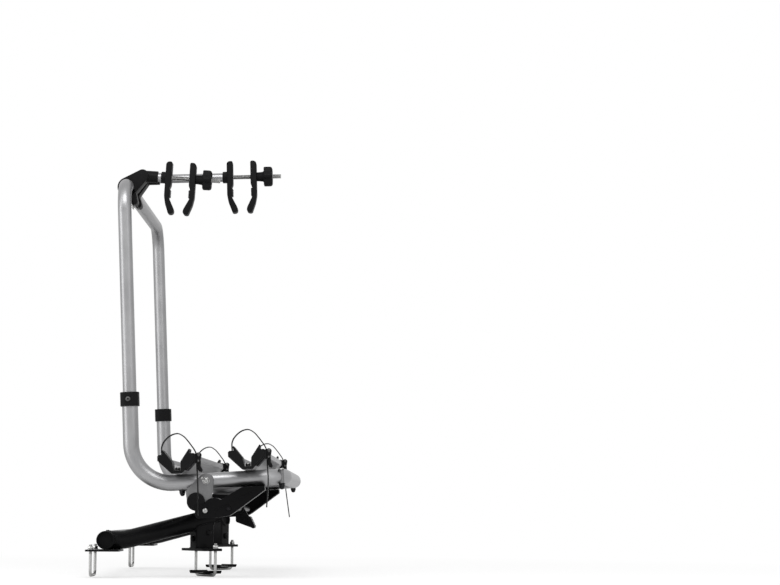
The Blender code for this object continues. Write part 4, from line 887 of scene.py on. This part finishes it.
def bolt_down(name, x, y, top, grip):
    """Bolt of the platform: button head on top, dark cap nut on a washer below."""
    head = button_bolt((x, y, top), DOWN, radius=0.0062, height=0.0028, grip=grip, shank=0.0033)
    finished(head, f"{name}_head", zinc, "platform", name, place=PLATFORM)
    low = top - grip
    nut = merged(washer((x, y, low + 0.0002), DOWN, radius=0.0072, bore=BOLT_RADIUS),
                 cap_nut((x, y, low - 0.001), DOWN, NUT_FLATS, height=0.0115))
    finished(nut, f"{name}_nut", dark_zinc, "platform", place=PLATFORM)


def rail_bolts(name, side):
    """Bolts that hold both rails on one side of the platform."""
    floor, slack, head_seat = 0.0025, 0.0009, 0.0028
    spacer = {"rear": 0, "front": 0.0033}
    for rail, x in RAIL_X.items():
        grip = floor + 2 * FRAME_RADIUS + spacer[rail] + slack
        bolt_down(f"rail_bolt_{rail}_{name}", x, side * FRAME_HALF_WIDTH, RAIL_BASE + head_seat, grip)


def front_bolt(name, side):
    """Bolt beside a front corner of the platform tube, in a bush with a ring on each end."""
    x, y = FRONT_BAR_X - 0.004, side * (FRAME_HALF_WIDTH - 0.012)
    half, radius, edge = 0.0145, 0.0056, 0.0005
    ring = WASHER_THICKNESS + 0.0001
    bush = turned((x, y, PLATFORM_HEIGHT), UP, both_ends([(-half, 0.0050), (edge - half, radius)]), 48)
    finished(bush, f"front_bush_{name}", plate_metal, "platform", place=PLATFORM)
    rings = merged(*[washer((x, y, PLATFORM_HEIGHT + way * half), (0, 0, way), radius=0.0068, bore=0.0034)
                     for way in (-1, 1)])
    finished(rings, f"front_bolt_rings_{name}", black_plastic, "platform", place=PLATFORM)
    bolt_down(f"front_bolt_{name}", x, y, PLATFORM_HEIGHT + half + ring, 2 * (half + ring))


def platform_bolts():
    """Bolts on both sides of the platform."""
    for name, side in SIDES.items():
        rail_bolts(name, side)
        front_bolt(name, side)


# Circles that a hinge plate's outline runs round: x, z and radius
HINGE_TOP = (0.0245, PLATFORM_HEIGHT, 0.017)
HINGE_SHOULDER = (-0.0125, 0.0205, 0.0085)
HINGE_EYE = (0, 0, 0.0194)
HINGE_FOOT = (0.0197, -0.0209, 0.0105)


def hinge_plate(name, side):
    """Silver hinge plate with the eye that turns on the hinge tube."""
    low, high = span(side, PLATE_INNER_Y, PLATE_OUTER_Y)
    hinge = plate(hull(HINGE_TOP, HINGE_SHOULDER, HINGE_EYE, HINGE_FOOT), low, high, edge=0.0007)
    eye = rod((0, low - 0.01, 0), LEFT, length=0.03, radius=CROSS_RADIUS + CLEARANCE)
    finished(drilled(hinge, eye), f"hinge_plate_smooth_{name}", plate_metal, "platform",
             f"hinge_plate_{name}", place=PLATFORM)


def upper_hinge_bolt(name, side):
    """Bolt, washer and nut through the platform's side, with a small rivet beside the head."""
    x, z, _ = HINGE_TOP
    inwards = (0, -side, 0)
    face = side * PLATE_OUTER_Y
    head = face + side * WASHER_THICKNESS
    nut = side * (FRAME_HALF_WIDTH - FRAME_RADIUS - 0.0004)
    bolt = merged(washer((x, head, z), inwards, radius=0.0078, bore=0.003),
                  button_bolt((x, head, z), inwards, radius=0.0064, height=0.0036, grip=0.041,
                              shank=BOLT_RADIUS),
                  hexagon_nut((x, nut, z), inwards, NUT_FLATS, NUT_HEIGHT, bore=0.003),
                  button_bolt((x - 0.0088, face, z + 0.006), inwards, radius=0.0026, height=0.0008,
                              grip=0.002, shank=0.0015))
    finished(bolt, f"upper_hinge_bolt_{name}", zinc, "platform", place=PLATFORM)


def lower_hinge_bolt(name, side):
    """Bolt and nut that join hinge plate and support arm, with the spacer between the two."""
    x, z, _ = HINGE_FOOT
    inwards = (0, -side, 0)
    spacer = [(0, 0.003), (0, 0.0068), (0.0046, 0.0068), (0.0046, 0.003)]
    head = side * (WEB_OUTER_Y + CLEARANCE)
    nut = side * (PLATE_INNER_Y - 0.0006)
    bolt = merged(button_bolt((x, head, z), inwards, radius=0.0060, height=0.0040, grip=0.018,
                              shank=BOLT_RADIUS),
                  turned((x, side * (WEB_OUTER_Y - 0.0036), z), inwards, spacer, 32),
                  hexagon_nut((x, nut, z), inwards, NUT_FLATS, NUT_HEIGHT, bore=0.003))
    finished(bolt, f"lower_hinge_bolt_smooth_{name}", zinc, "platform", f"lower_hinge_bolt_{name}",
             place=PLATFORM)


def hinge_cap(name, side):
    """Round cap that keeps a hinge plate on its tube."""
    profile = [(-0.012, 0.0108), (0, 0.0108), (0, 0.0192), (0.0006, 0.0198), (0.0018, 0.0198),
               (0.0027, 0.0191), (0.0030, 0.0182), (0.0030, 0.0166), (0.0025, 0.0162),
               (0.0025, 0.006), (0.0027, 0.001)]
    cap = turned((0, side * (CAP_OUTER_Y - 0.003), TILT_AXIS_Z), (0, side, 0), profile)
    finished(cap, f"hinge_cap_smooth_{name}", black_plastic, "base", f"cross_tube_cap_{name}")


def hinges():
    """Hinge on each side of the platform."""
    for name, side in SIDES.items():
        hinge_plate(name, side)
        upper_hinge_bolt(name, side)
        lower_hinge_bolt(name, side)
        hinge_cap(name, side)


def band_along(points, half):
    """Outline of a narrow band along a line of points."""
    sides = [[], []]
    for k, point in enumerate(points):
        before = Vector(points[max(k - 1, 0)])
        after = Vector(points[min(k + 1, len(points) - 1)])
        way = (after - before).normalized()
        normal = Vector((-way.y, way.x)) * half
        sides[0].append(tuple(Vector(point) + normal))
        sides[1].append(tuple(Vector(point) - normal))
    return sides[0] + sides[1][::-1]


def support_arm_folds():
    """Fold that stiffens the web of each support arm."""
    line = [(0.0400, -0.0300), (0.0408, -0.0235), (0.0445, -0.0200), (0.0930, 0.0007), (0.1270, 0.0150)]
    height, root = 0.0011, 0.001
    for name, side in SIDES.items():
        low, high = span(side, WEB_OUTER_Y - root, WEB_OUTER_Y + height)
        fold = plate(band_along(line, height), low, high, segments=3)
        finished(fold, f"support_arm_fold_{name}", black_coat, "platform", place=PLATFORM)


def u_bolt_legs(end, side):
    """Places of a U-bolt's two legs, inner one first."""
    behind_tube, rear_reach = 0.0275, 0.045
    past_post, front_reach = 0.010, 0.049
    if end == "rear":
        x = REAR_TUBE_X - behind_tube
        return [Vector((x, side * (diagonal_y(x) + offset), 0)) for offset in (-rear_reach, rear_reach)]
    turn = -side * BASE_SPLAY
    along = Vector((math.cos(turn), math.sin(turn), 0))
    outward = Vector((-math.sin(turn), math.cos(turn), 0)) * side
    middle = Vector((POST_X, side * POST_Y, 0)) + along * past_post
    return [middle + outward * offset for offset in (-front_reach, front_reach)]


def u_bolts():
    """Zinc-plated U-bolts with threaded ends, washers and nuts."""
    wire, bend, sides = 0.00325, 0.012, 24
    threaded, nut_flats, nut_height = 0.020, 0.011, 0.0055
    for end, plate_top in PLATE_TOP.items():
        for name, side in SIDES.items():
            node = f"{end}_u_bolt_{name}"
            low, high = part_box(node)
            inner, outer = u_bolt_legs(end, side)
            rise = Vector((0, 0, high.z))
            down = Vector((0, 0, low.z + wire))
            corners = [inner + rise, inner + down, outer + down, outer + rise]
            parts = [faces_outwards(tube_through(corners, [bend] * 2, wire, sides))]
            for leg in (inner, outer):
                ribs = thread(threaded - 0.0006, radius=wire + 0.00035)
                parts.append(turned(leg + rise - Vector((0, 0, threaded)), UP, ribs, sides))
                seat = leg + Vector((0, 0, plate_top))
                parts.append(washer(seat, UP, radius=0.0068, bore=wire))
                seat = leg + Vector((0, 0, plate_top + WASHER_THICKNESS + 0.0001))
                parts.append(hexagon_nut(seat, UP, nut_flats, nut_height, wire))
            finished(merged(*parts), f"{node}_threaded", zinc, "base", node)


# Latch

LATCH_RADIUS = 0.006


def latch_shaft():
    """Shaft with shouldered ends, on which the foot pedal turns."""
    tip, shoulder = WEB_OUTER_Y + 0.0030, WEB_OUTER_Y - 0.0033
    edge, journal, chamfer = 0.0005, LATCH_RADIUS - 0.002, 0.001
    shaft = turned((0, 0, 0), LEFT, both_ends([
        (-tip, journal - chamfer), (chamfer - tip, journal), (-shoulder, journal),
        (-shoulder, LATCH_RADIUS - edge), (edge - shoulder, LATCH_RADIUS)]), 32)
    finished(shaft, "latch_shaft_smooth", dark_zinc, "platform", "latch_shaft", place=LATCH)


def latch_spring():
    """Torsion spring wound round the latch shaft, with a straight leg at each end."""
    wire, pitch, turns, per_turn, leg = 0.002, 0.0027, 5, 24, 0.015
    hook_half = 0.014
    radius = LATCH_RADIUS + wire / 2 + 0.0008
    start_y = hook_half + CLEARANCE + wire
    points = []
    for k in range(turns * per_turn + 1):
        turn = 2 * math.pi * k / per_turn
        points.append(Vector((radius * math.cos(turn), start_y + pitch * k / per_turn,
                              radius * math.sin(turn))))
    points = [points[0] + Vector((0, 0, -leg))] + points + [points[-1] + Vector((0, 0, leg))]
    curve = bpy.data.curves.new("spring_wire", "CURVE")
    curve.dimensions = "3D"
    curve.bevel_depth = wire / 2
    curve.bevel_resolution = 3
    curve.use_fill_caps = True
    line = curve.splines.new("POLY")
    line.points.add(len(points) - 1)
    for target, point in zip(line.points, points):
        target.co = (*point, 1)
    spring = bpy.data.objects.new("spring_wire", curve)
    bpy.context.scene.collection.objects.link(spring)
    taken_up(spring)
    bpy.ops.object.convert(target="MESH")
    finished(bpy.context.object, "latch_spring_wound", zinc, "platform", "latch_spring", place=LATCH)


# Wheel straps

STRAP_SLOT_X = 0.0325
SUPPORT_TOP = 0.0415
STRAP_LOOP_TOP = 0.0855
STRAP_THICKNESS = 0.0024
STRAP_TAILS = {
    "rear_right": [(0.0416, -0.020), (0.0408, -0.050), (0.0380, -0.093)],
    "rear_left": [(0.0445, -0.008), (0.0520, -0.010), (0.0610, -0.002)],
    "front_right": [(0.0416, -0.030), (0.0352, -0.084)],
    "front_left": [(0.0450, -0.045), (0.0500, -0.109)],
}


def spline(points, steps):
    """Smooth curve through points in a plane."""
    points = [Vector(point) for point in points]
    ends = [2 * points[0] - points[1]] + points + [2 * points[-1] - points[-2]]
    curve = []
    for a, b, c, d in zip(ends, ends[1:], ends[2:], ends[3:]):
        for step in range(steps):
            t = step / steps
            curve.append(0.5 * (2 * b + (c - a) * t + (2 * a - 5 * b + 4 * c - d) * t ** 2
                                + (3 * b - a - 3 * c + d) * t ** 3))
    curve.append(points[-1])
    return curve


def strap_line(name):
    """Middle of a strap: slot, arch, down under the lever, loose end."""
    beside = SUPPORT_WING_X + CLEARANCE + STRAP_THICKNESS / 2
    rise = STRAP_LOOP_TOP - SUPPORT_TOP
    slot_end = RAIL_HEIGHT - 0.0037
    arch = [(-1.0, 0.22), (-0.97, 0.42), (-0.82, 0.64), (-0.50, 0.865), (-0.17, 0.985),
            (0.18, 1.0), (0.53, 0.84), (0.785, 0.61), (1.01, 0.365), (1.18, 0.16)]
    line = [(-STRAP_SLOT_X, slot_end), (-STRAP_SLOT_X, SUPPORT_TOP)]
    line += [(x * STRAP_SLOT_X, SUPPORT_TOP + z * rise) for x, z in arch]
    line += [(beside, RAIL_HEIGHT - depth) for depth in (-0.001, 0.012, 0.025, 0.038)]
    return spline(line + STRAP_TAILS[name], 6)


def even_line(line, step):
    """Points a step apart along a line."""
    path = [line[0]]
    spare = 0.0
    for a, b in zip(line, line[1:]):
        length = (b - a).length
        at = step - spare
        while at <= length:
            path.append(a.lerp(b, at / length))
            at += step
        spare = length - (at - step)
    return path


def toothed_band(line, inner, outer, tooth, low, high):
    """Band along a line, with teeth on its outer side."""
    near, far = [], []
    for k, point in enumerate(line):
        way = (line[min(k + 1, len(line) - 1)] - line[max(k - 1, 0)]).normalized()
        normal = Vector((-way.y, way.x))
        near.append(tuple(point + normal * (outer + (tooth if k % 4 in (1, 2) else 0))))
        far.append(tuple(point - normal * inner))
    piece = outline_face(near + far[::-1], low)
    drawn_out((0, high - low, 0))
    return faces_outwards(piece)


def wheel_straps():
    """Toothed straps: a smooth band with a narrower row of teeth on its outer side."""
    half = STRAP_THICKNESS / 2
    band_width, teeth_width = 0.018, 0.0124
    edge, tooth, tooth_step = 0.0003, 0.0006, 0.00075
    for name in WHEEL_PLACES:
        line = strap_line(name)
        band = toothed_band(even_line(line, 2 * tooth_step), half, half - edge, 0,
                            -band_width / 2, band_width / 2)
        edge_rounded(band, edge, segments=1, angle=50)
        teeth = toothed_band(even_line(line, tooth_step), half - 0.0004, half - tooth, tooth,
                             -teeth_width / 2, teeth_width / 2)
        finished(merged(band, teeth), f"wheel_strap_toothed_{name}", strap_black,
                 body_of(f"wheel_strap_{name}"), f"wheel_strap_{name}", place=wheel_place(name))


def rail_ends():
    """Black covers on the ends of both rails, under the wheel supports."""
    inner_y, outer_y = 0.5622, 0.5649
    outside = [(0.0380, RAIL_HEIGHT), (0.0380, 0.0265), (0.0115, 0.0)]
    inside = [(0.0352, RAIL_HEIGHT), (0.0352, 0.0277), (0.0103, 0.0028)]
    half = outside[::-1] + inside
    outline = half + [(-x, z) for x, z in reversed(half)]
    for name, (x, side) in WHEEL_PLACES.items():
        cover = plate(outline, *span(side, inner_y, outer_y), edge=0.0005)
        finished(cover, f"rail_end_cover_{name}", black_plastic, "platform",
                 place=PLATFORM @ Matrix.Translation((x, 0, RAIL_BASE)))


LEVER_PIN = (0.0470, 0.0375)
LUG_OUTER_Y = 0.0146


def ridge(x, z, reach, radius):
    """Low moulded ridge lying across a wheel support, a lever or the pedal."""
    return turned((x, 0, z), LEFT, both_ends([(-reach, radius / 2), (radius / 2 - reach, radius)]), 10)


def ridges(count, first, last, reach, radius=0.0007):
    """Row of ridges from one place in the side view to another."""
    places = [Vector(first).lerp(Vector(last), k / (count - 1)) for k in range(count)]
    return [ridge(x, z, reach, radius) for x, z in places]


def trough_grips(name):
    """Ridges on both slopes of a wheel support's trough."""
    grips = []
    for side in SIDES.values():
        grips += ridges(5, (side * 0.011325, 0.02815), (side * 0.0246107, 0.04615), reach=0.0285)
    finished(merged(*grips), f"tyre_grips_{name}", black_plastic, body_of(f"wheel_support_{name}"),
             place=wheel_place(name))


def trough_bolt(name):
    """Washer, nut and bolt end in the bottom of a wheel support's trough."""
    bolt = merged(washer((0, 0, 0.0062), UP, radius=0.0074, bore=BOLT_RADIUS, thickness=0.0010),
                  hexagon_nut((0, 0, 0.0073), UP, flats=0.0105, height=0.0052, bore=0.0036),
                  turned((0, 0, 0.0125), UP, [(0, 0.0036), (0.0008, 0.0036), (0.0014, 0.0026)], 24))
    finished(bolt, f"trough_bolt_{name}", zinc, body_of(f"wheel_support_{name}"), place=wheel_place(name))


def lever_pins(name):
    """Rivets that a lever turns on, and the ends of the pawl's pin in its lugs."""
    x, z = LEVER_PIN
    rivet = [(-0.0006, 0.0033), (0.0003, 0.0033), (0.0008, 0.0029), (0.0011, 0.0020), (0.0011, 0.0008),
             (0.0006, 0.0004)]
    pin = [(-0.0006, 0.0021), (0.0003, 0.0021), (0.0007, 0.0013)]
    rivets = [turned((x, side * LUG_OUTER_Y, z), (0, side, 0), rivet, 24) for side in SIDES.values()]
    pins = [turned((x - 0.0012, side * (LUG_OUTER_Y - 0.0001), z - 0.0130), (0, side, 0), pin, 20)
            for side in SIDES.values()]
    finished(merged(*rivets), f"lever_rivets_{name}", dull_zinc, body_of(f"ratchet_lever_{name}"),
             place=wheel_place(name))
    finished(merged(*pins), f"pawl_pin_{name}", dull_zinc, body_of(f"wheel_support_{name}"),
             place=wheel_place(name))


def thumb_grip(name):
    """Ridges on a lever, for the thumb."""
    x, z = LEVER_PIN
    grip = ridges(6, (x + 0.0028, z - 0.0245), (x + 0.0063, z - 0.0330), reach=0.0100, radius=0.0006)
    finished(merged(*grip), f"thumb_grip_{name}", black_plastic, body_of(f"ratchet_lever_{name}"),
             place=wheel_place(name))


def wheel_support_details():
    """Details of each wheel support and its lever."""
    for name in WHEEL_PLACES:
        trough_grips(name)
        trough_bolt(name)
        lever_pins(name)
        thumb_grip(name)


def pedal_treads():
    """Treads across the foot pedal's pad."""
    treads = ridges(6, (0.0342133, -0.0412467), (0.02688, -0.02308), reach=0.0295, radius=0.0009)
    finished(merged(*treads), "pedal_treads", black_plastic, "pedal", place=LATCH)


def clamp_bolts():
    """Pinch bolts of the arm clamps."""
    slope, ear_half = math.radians(24), 0.0118
    across = Vector((math.cos(slope), 0, math.sin(slope)))
    start = Vector((0.0145, 0, -0.029)) - across * ear_half
    for arm in ARMS:
        bolt = button_bolt(start, across, radius=0.0062, height=0.0034, grip=0.004, shank=0.0035)
        finished(bolt, f"pinch_bolt_{arm}", zinc, body_of(f"arm_clamp_{arm}"), place=arm_axis(arm))


# Holder arms

def bar_hole():
    """Cutter for the hoop's bar in a clamp."""
    return rod((0, -0.03, 0), LEFT, length=0.06, radius=HOOP_RADIUS + CLEARANCE)


def arm_tube_hole():
    """Cutter for the arm tube in a clamp."""
    start = (HOOP_RADIUS + ARM_TUBE_GAP, 0, ARM_LIFT)
    return rod(start, FORWARD, length=0.06, radius=ARM_TUBE_RADIUS + CLEARANCE)


def clamp_split():
    """Cutter for the split that the pinch bolt closes."""
    split = outline_face(hull((0.004, -0.010, 0.0008), (0.0195, -0.045, 0.0008), count=8), -0.03)
    drawn_out((0, 0.06, 0))
    return faces_outwards(split)


def arm_clamps():
    """Split clamps round the hoop's bar, each with a socket for its arm tube."""
    half, wall = 0.020, 0.007
    ring = (0, 0, HOOP_RADIUS + CLEARANCE + wall)
    nose = (0.032, ARM_LIFT, 0.0135)
    ear_ends = (0.006, -0.006, 0.012), (0.017, -0.031, 0.008)
    radius = ARM_TUBE_RADIUS + 0.0033
    for arm in ARMS:
        body = plate(hull(ring, nose, count=96), -half, half, edge=0.0018, segments=4)
        ear = plate(hull(*ear_ends), -half, half, edge=0.0015, segments=3)
        socket = turned((0, 0, ARM_LIFT), FORWARD, [
            (0.031, radius), (0.0645, radius), (0.0655, radius - 0.0004), (0.0660, radius - 0.0014)])
        clamp = merged(drilled(body, bar_hole(), arm_tube_hole(), clamp_split()),
                       drilled(ear, bar_hole(), clamp_split()),
                       drilled(socket, bar_hole(), arm_tube_hole()))
        node = f"arm_clamp_{arm}"
        finished(clamp, f"{node}_smooth", black_plastic, body_of(node), node, place=arm_axis(arm))


def arm_tubes():
    """Silver arm tubes with their bored ends."""
    bore, bore_depth = 0.0056, 0.045
    start = HOOP_RADIUS + ARM_TUBE_GAP
    for arm in ARMS:
        end = JAW_X[arm] - 0.0043
        tube = turned((0, 0, ARM_LIFT), FORWARD, [
            (start, ARM_TUBE_RADIUS), (end, ARM_TUBE_RADIUS), (end, bore), (end - bore_depth, bore)])
        finished(marked_along(tube), f"arm_tube_drawn_{arm}", tube_metal, f"arm_{arm}", f"arm_tube_{arm}",
                 place=arm_axis(arm))


def softened(points, radius, steps=5):
    """Closed outline with its corners rounded."""
    outline = []
    for before, corner, after in zip(points[-1:] + points, points, points[1:] + points[:1]):
        before, corner, after = Vector(before), Vector(corner), Vector(after)
        first, last = before - corner, after - corner
        start = corner + first.normalized() * min(radius, first.length * 0.45)
        end = corner + last.normalized() * min(radius, last.length * 0.45)
        for k in range(steps + 1):
            t = k / steps
            outline.append(tuple(start.lerp(corner, t).lerp(corner.lerp(end, t), t)))
    return outline


def jaw_outline(face, back):
    """Side view of a jaw: straight back, hollowed gripping face, tip curving inwards."""
    inward = math.copysign(0.010, face - back)
    hollow = math.copysign(0.004, back - face)
    rise, reach, bend = 0.036, 0.083, -0.055
    return [(back, rise - 0.004), (back, bend + 0.012), (back + inward * 0.35, bend - 0.006),
            (back + inward * 0.95, -reach + 0.006), (back + inward * 1.15, -reach),
            (face + inward * 0.6, -reach), (face + inward, -reach + 0.005),
            (face + inward * 0.9, -reach + 0.012), (face + inward * 0.1, bend),
            (face + hollow, bend + 0.010), (face + hollow, -0.026), (face, -0.018), (face, rise),
            (back + (face - back) * 0.35, rise)]


def jaws():
    """Jaws with rounded edges, bored for the arm tube and the screw."""
    half, corner, screw = 0.016, 0.0045, 0.0053
    bore = ARM_TUBE_RADIUS + CLEARANCE
    boss_profile = [(0, 0.0119), (0.0005, 0.0128), (0.0014, 0.0133), (0.0085, 0.0133), (0.0100, 0.0140),
                    (0.0110, 0.0150)]
    for arm in ARMS:
        for name, face, back in (("fixed", 0.0, -JAW_THICKNESS),
                                 ("moving", JAW_OPENING, JAW_OPENING + JAW_THICKNESS)):
            jaw = plate(softened(jaw_outline(face, back), corner), -half, half, edge=0.0022, segments=4)
            hole = rod((min(face, back) - 0.01, 0, 0), FORWARD, length=0.05, radius=screw)
            if name == "fixed":
                boss = turned((-0.024, 0, 0), FORWARD, boss_profile)
                seat = rod((-0.03, 0, 0), FORWARD, length=0.026, radius=bore)
                through = rod((-0.03, 0, 0), FORWARD, length=0.03, radius=bore)
                jaw = merged(drilled(jaw, seat, hole), drilled(boss, through))
            else:
                drilled(jaw, hole)
            node = f"{name}_jaw_{arm}"
            finished(jaw, f"{node}_smooth", black_plastic, body_of(node), node, place=jaw_place(arm))


def jaw_pads():
    """Ribbed rubber pads in the jaws' gripping faces."""
    low, high, half, ribs = -0.0440, -0.0268, 0.0145, 5
    back, valley, crest = -0.0044, -0.0014, -0.0002
    step = (high - low) / (2 * ribs)
    outline = [(back, low), (valley, low)]
    outline += [(valley if k % 2 else crest, low + step * (k + 0.5)) for k in range(2 * ribs)]
    outline += [(valley, high), (back, high)]
    facing = [(JAW_OPENING - x, z) for x, z in reversed(outline)]
    for arm in ARMS:
        for name, shape in (("fixed", outline), ("moving", facing)):
            pad = plate(shape, -half, half, edge=0.0003)
            finished(pad, f"{name}_jaw_pad_{arm}", strap_black, body_of(f"{name}_jaw_{arm}"),
                     place=jaw_place(arm))


def lobed_rim(lobes, radius, share):
    """Outline of a hand knob with round lobes."""
    count = 20 * lobes
    rim = []
    for k in range(count):
        turn = 2 * math.pi * k / count
        reach = radius * (1 - share + share * math.cos(lobes * turn))
        rim.append((reach * math.cos(turn), reach * math.sin(turn)))
    return rim


def jaw_knobs():
    """Lobed hand knobs on threaded screws."""
    neck, end, small = 0.016, 0.020, 0.94
    start = JAW_OPENING + JAW_THICKNESS + CLEARANCE
    screw_start, screw_length, screw_radius, screw_pitch = -0.024, 0.1336, 0.005, 0.0015
    boss_profile = [(0, 0.0085), (0, 0.0096), (0.0006, 0.0102), (neck - 0.003, 0.0112),
                    (neck - 0.001, 0.0128), (neck + 0.001, 0.0150), (neck + 0.002, 0.0150)]
    rim = [(y * small, z * small) for y, z in lobed_rim(lobes=6, radius=0.024, share=0.10)]
    for arm in ARMS:
        knob = outline_face(rim, start + neck, "YZ")
        stepped(Vector((start + neck, 0, 0)), Vector(FORWARD), [
            (0, small), (0.0008, 0.98), (0.0022, 1.0), (end - 0.0062, 1.0), (end - 0.0040, 0.985),
            (end - 0.0022, 0.945), (end - 0.0010, 0.885), (end - 0.0002, 0.80), (end, 0.72),
            (end, 0.50), (end - 0.0004, 0.47), (end - 0.0016, 0.455), (end - 0.0016, 0.05)])
        faces_outwards(knob)
        boss = turned((start, 0, 0), FORWARD, boss_profile, 48)
        finished(merged(knob, boss), f"knob_lobed_{arm}", black_plastic, f"knob_{arm}",
                 f"jaw_knob_{arm}", place=jaw_place(arm))
        screw = turned((screw_start, 0, 0), FORWARD, thread(screw_length, screw_radius, screw_pitch), 24)
        finished(screw, f"knob_screw_{arm}", zinc, f"knob_{arm}", place=jaw_place(arm))


def collar_screws():
    """Grey clamping screws of the frame collars."""
    ahead, above_tube = -0.002, 0.0033
    for name, side in SIDES.items():
        collar = PLATFORM @ Matrix.Translation((leg_x(JOINT_HEIGHT), side * FRAME_HALF_WIDTH, JOINT_HEIGHT))
        screw = button_bolt((ahead, side * (FRAME_RADIUS + above_tube), 0), (0, -side, 0), radius=0.0060,
                            height=0.0036, grip=0.004, shank=BOLT_RADIUS)
        finished(screw, f"collar_screw_{name}", dull_zinc, "platform",
                 place=collar @ Matrix.Rotation(LEG_TILT, 4, "Y"))


frame_tubes()
base_tubes()
diagonal_tubes()
base_welds()
platform_bolts()
hinges()
support_arm_folds()
u_bolts()
latch_shaft()
latch_spring()
wheel_straps()
rail_ends()
wheel_support_details()
pedal_treads()
clamp_bolts()
arm_clamps()
arm_tubes()
jaws()
jaw_pads()
jaw_knobs()
collar_screws()

ROUNDING = {
    "front_post": 0.0005,
    "support_arm": 0.0006,
    "frame_collar": 0.0008,
    "wheel_rail": 0.0004,
    "wheel_support": 0.0006,
    "ratchet_lever": 0.0006,
    "foot_pedal": 0.0006,
    "catch_plate": 0.0005,
    "rear_saddle": 0.0005,
    "front_clamp_plate": 0.0004,
}
for kind, width in ROUNDING.items():
    for name in [name for name in nodes if name.startswith(kind)]:
        rounded(name, width)


# Camera, floor and lights

PLAIN_LIGHT = 0.8


def camera_at_photo():
    """Camera of the photograph: low, in front of the near side, looking slightly up and across."""
    place = (0.363, -5.598, 0.091)
    turn, rise, roll = 0.01129, 0.09308, 0.00618
    focal_pixels, frame_pixels = 2343, 780
    data = bpy.data.cameras.new("photo_camera")
    data.sensor_width = 36
    data.lens = focal_pixels / frame_pixels * data.sensor_width
    data.clip_end = 100
    camera = bpy.data.objects.new("photo_camera", data)
    bpy.context.scene.collection.objects.link(camera)
    forward = Vector((math.sin(turn) * math.cos(rise), math.cos(turn) * math.cos(rise), math.sin(rise)))
    right = Vector((math.cos(turn), -math.sin(turn), 0))
    axes = Matrix((right, right.cross(forward), -forward)).transposed().to_4x4()
    camera.matrix_world = Matrix.Translation(place) @ axes @ Matrix.Rotation(roll, 4, "Z")
    bpy.context.scene.camera = camera


def soft_lamp(name, place, target, width, height, power):
    """Soft box aimed at a point."""
    data = bpy.data.lights.new(name, "AREA")
    data.shape = "RECTANGLE"
    data.size = width
    data.size_y = height
    data.energy = power
    lamp = bpy.data.objects.new(name, data)
    bpy.context.scene.collection.objects.link(lamp)
    lamp.location = place
    lamp.rotation_euler = (Vector(target) - Vector(place)).to_track_quat("-Z", "Y").to_euler()


def white_world():
    """White to the camera and in reflections, plain even light on the object."""
    world = bpy.data.worlds.new("studio")
    bpy.context.scene.world = world
    world.use_nodes = True
    tree = world.node_tree
    background = tree.nodes["Background"]
    background.inputs["Color"].default_value = (1, 1, 1, 1)
    rays = tree.nodes.new("ShaderNodeLightPath").outputs
    strength = PLAIN_LIGHT
    for ray in ("Is Camera Ray", "Is Transmission Ray", "Is Glossy Ray"):
        strength = math_node(tree, "MAXIMUM", rays[ray], strength)
    tree.links.new(strength, background.inputs["Strength"])


def pale_floor():
    """Plain floor under the clamps, running out into white."""
    clear_radius, white_radius, near_share = 0.5, 2.2, 0.60
    nothing_selected()
    bpy.ops.mesh.primitive_circle_add(vertices=96, radius=14, fill_type="NGON",
                                      location=(0, 0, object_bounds()[0].z - 0.0005))
    floor = bpy.context.object
    floor.name = "floor"
    material, tree, shader, place = finish_named("pale_floor")
    shader.inputs["Base Color"].default_value = (0.86, 0.86, 0.86, 1)
    shader.inputs["Roughness"].default_value = 0.9
    distance = tree.nodes.new("ShaderNodeVectorMath")
    distance.operation = "LENGTH"
    tree.links.new(place, distance.inputs[0])
    fade = ranged(tree, distance.outputs["Value"], clear_radius, white_radius, near_share)
    rays = tree.nodes.new("ShaderNodeLightPath")
    seen = math_node(tree, "MULTIPLY", rays.outputs["Is Camera Ray"], fade)
    white = tree.nodes.new("ShaderNodeEmission")
    white.inputs["Color"].default_value = (1, 1, 1, 1)
    blend = tree.nodes.new("ShaderNodeMixShader")
    tree.links.new(seen, blend.inputs["Fac"])
    tree.links.new(shader.outputs["BSDF"], blend.inputs[1])
    tree.links.new(white.outputs["Emission"], blend.inputs[2])
    tree.links.new(blend.outputs["Shader"], tree.nodes["Material Output"].inputs["Surface"])
    floor.data.materials.append(material)
    floor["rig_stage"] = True


camera_at_photo()
white_world()
pale_floor()
soft_lamp("key", place=(-2.3, -2.2, 2.6), target=(0, 0, 0.35), width=1.6, height=1.6, power=20)
soft_lamp("side", place=(-3.2, -1.7, 0.6), target=(0, 0, 0.45), width=0.9, height=2.4, power=40)
soft_lamp("top", place=(0.2, -2.4, 2.7), target=(0, 0, 0.2), width=2.2, height=1.0, power=60)
soft_lamp("fill", place=(2.4, -2.4, 0.9), target=(0, 0, 0.3), width=1.2, height=2.0, power=9)
bpy.context.scene.view_settings.view_transform = "Standard"
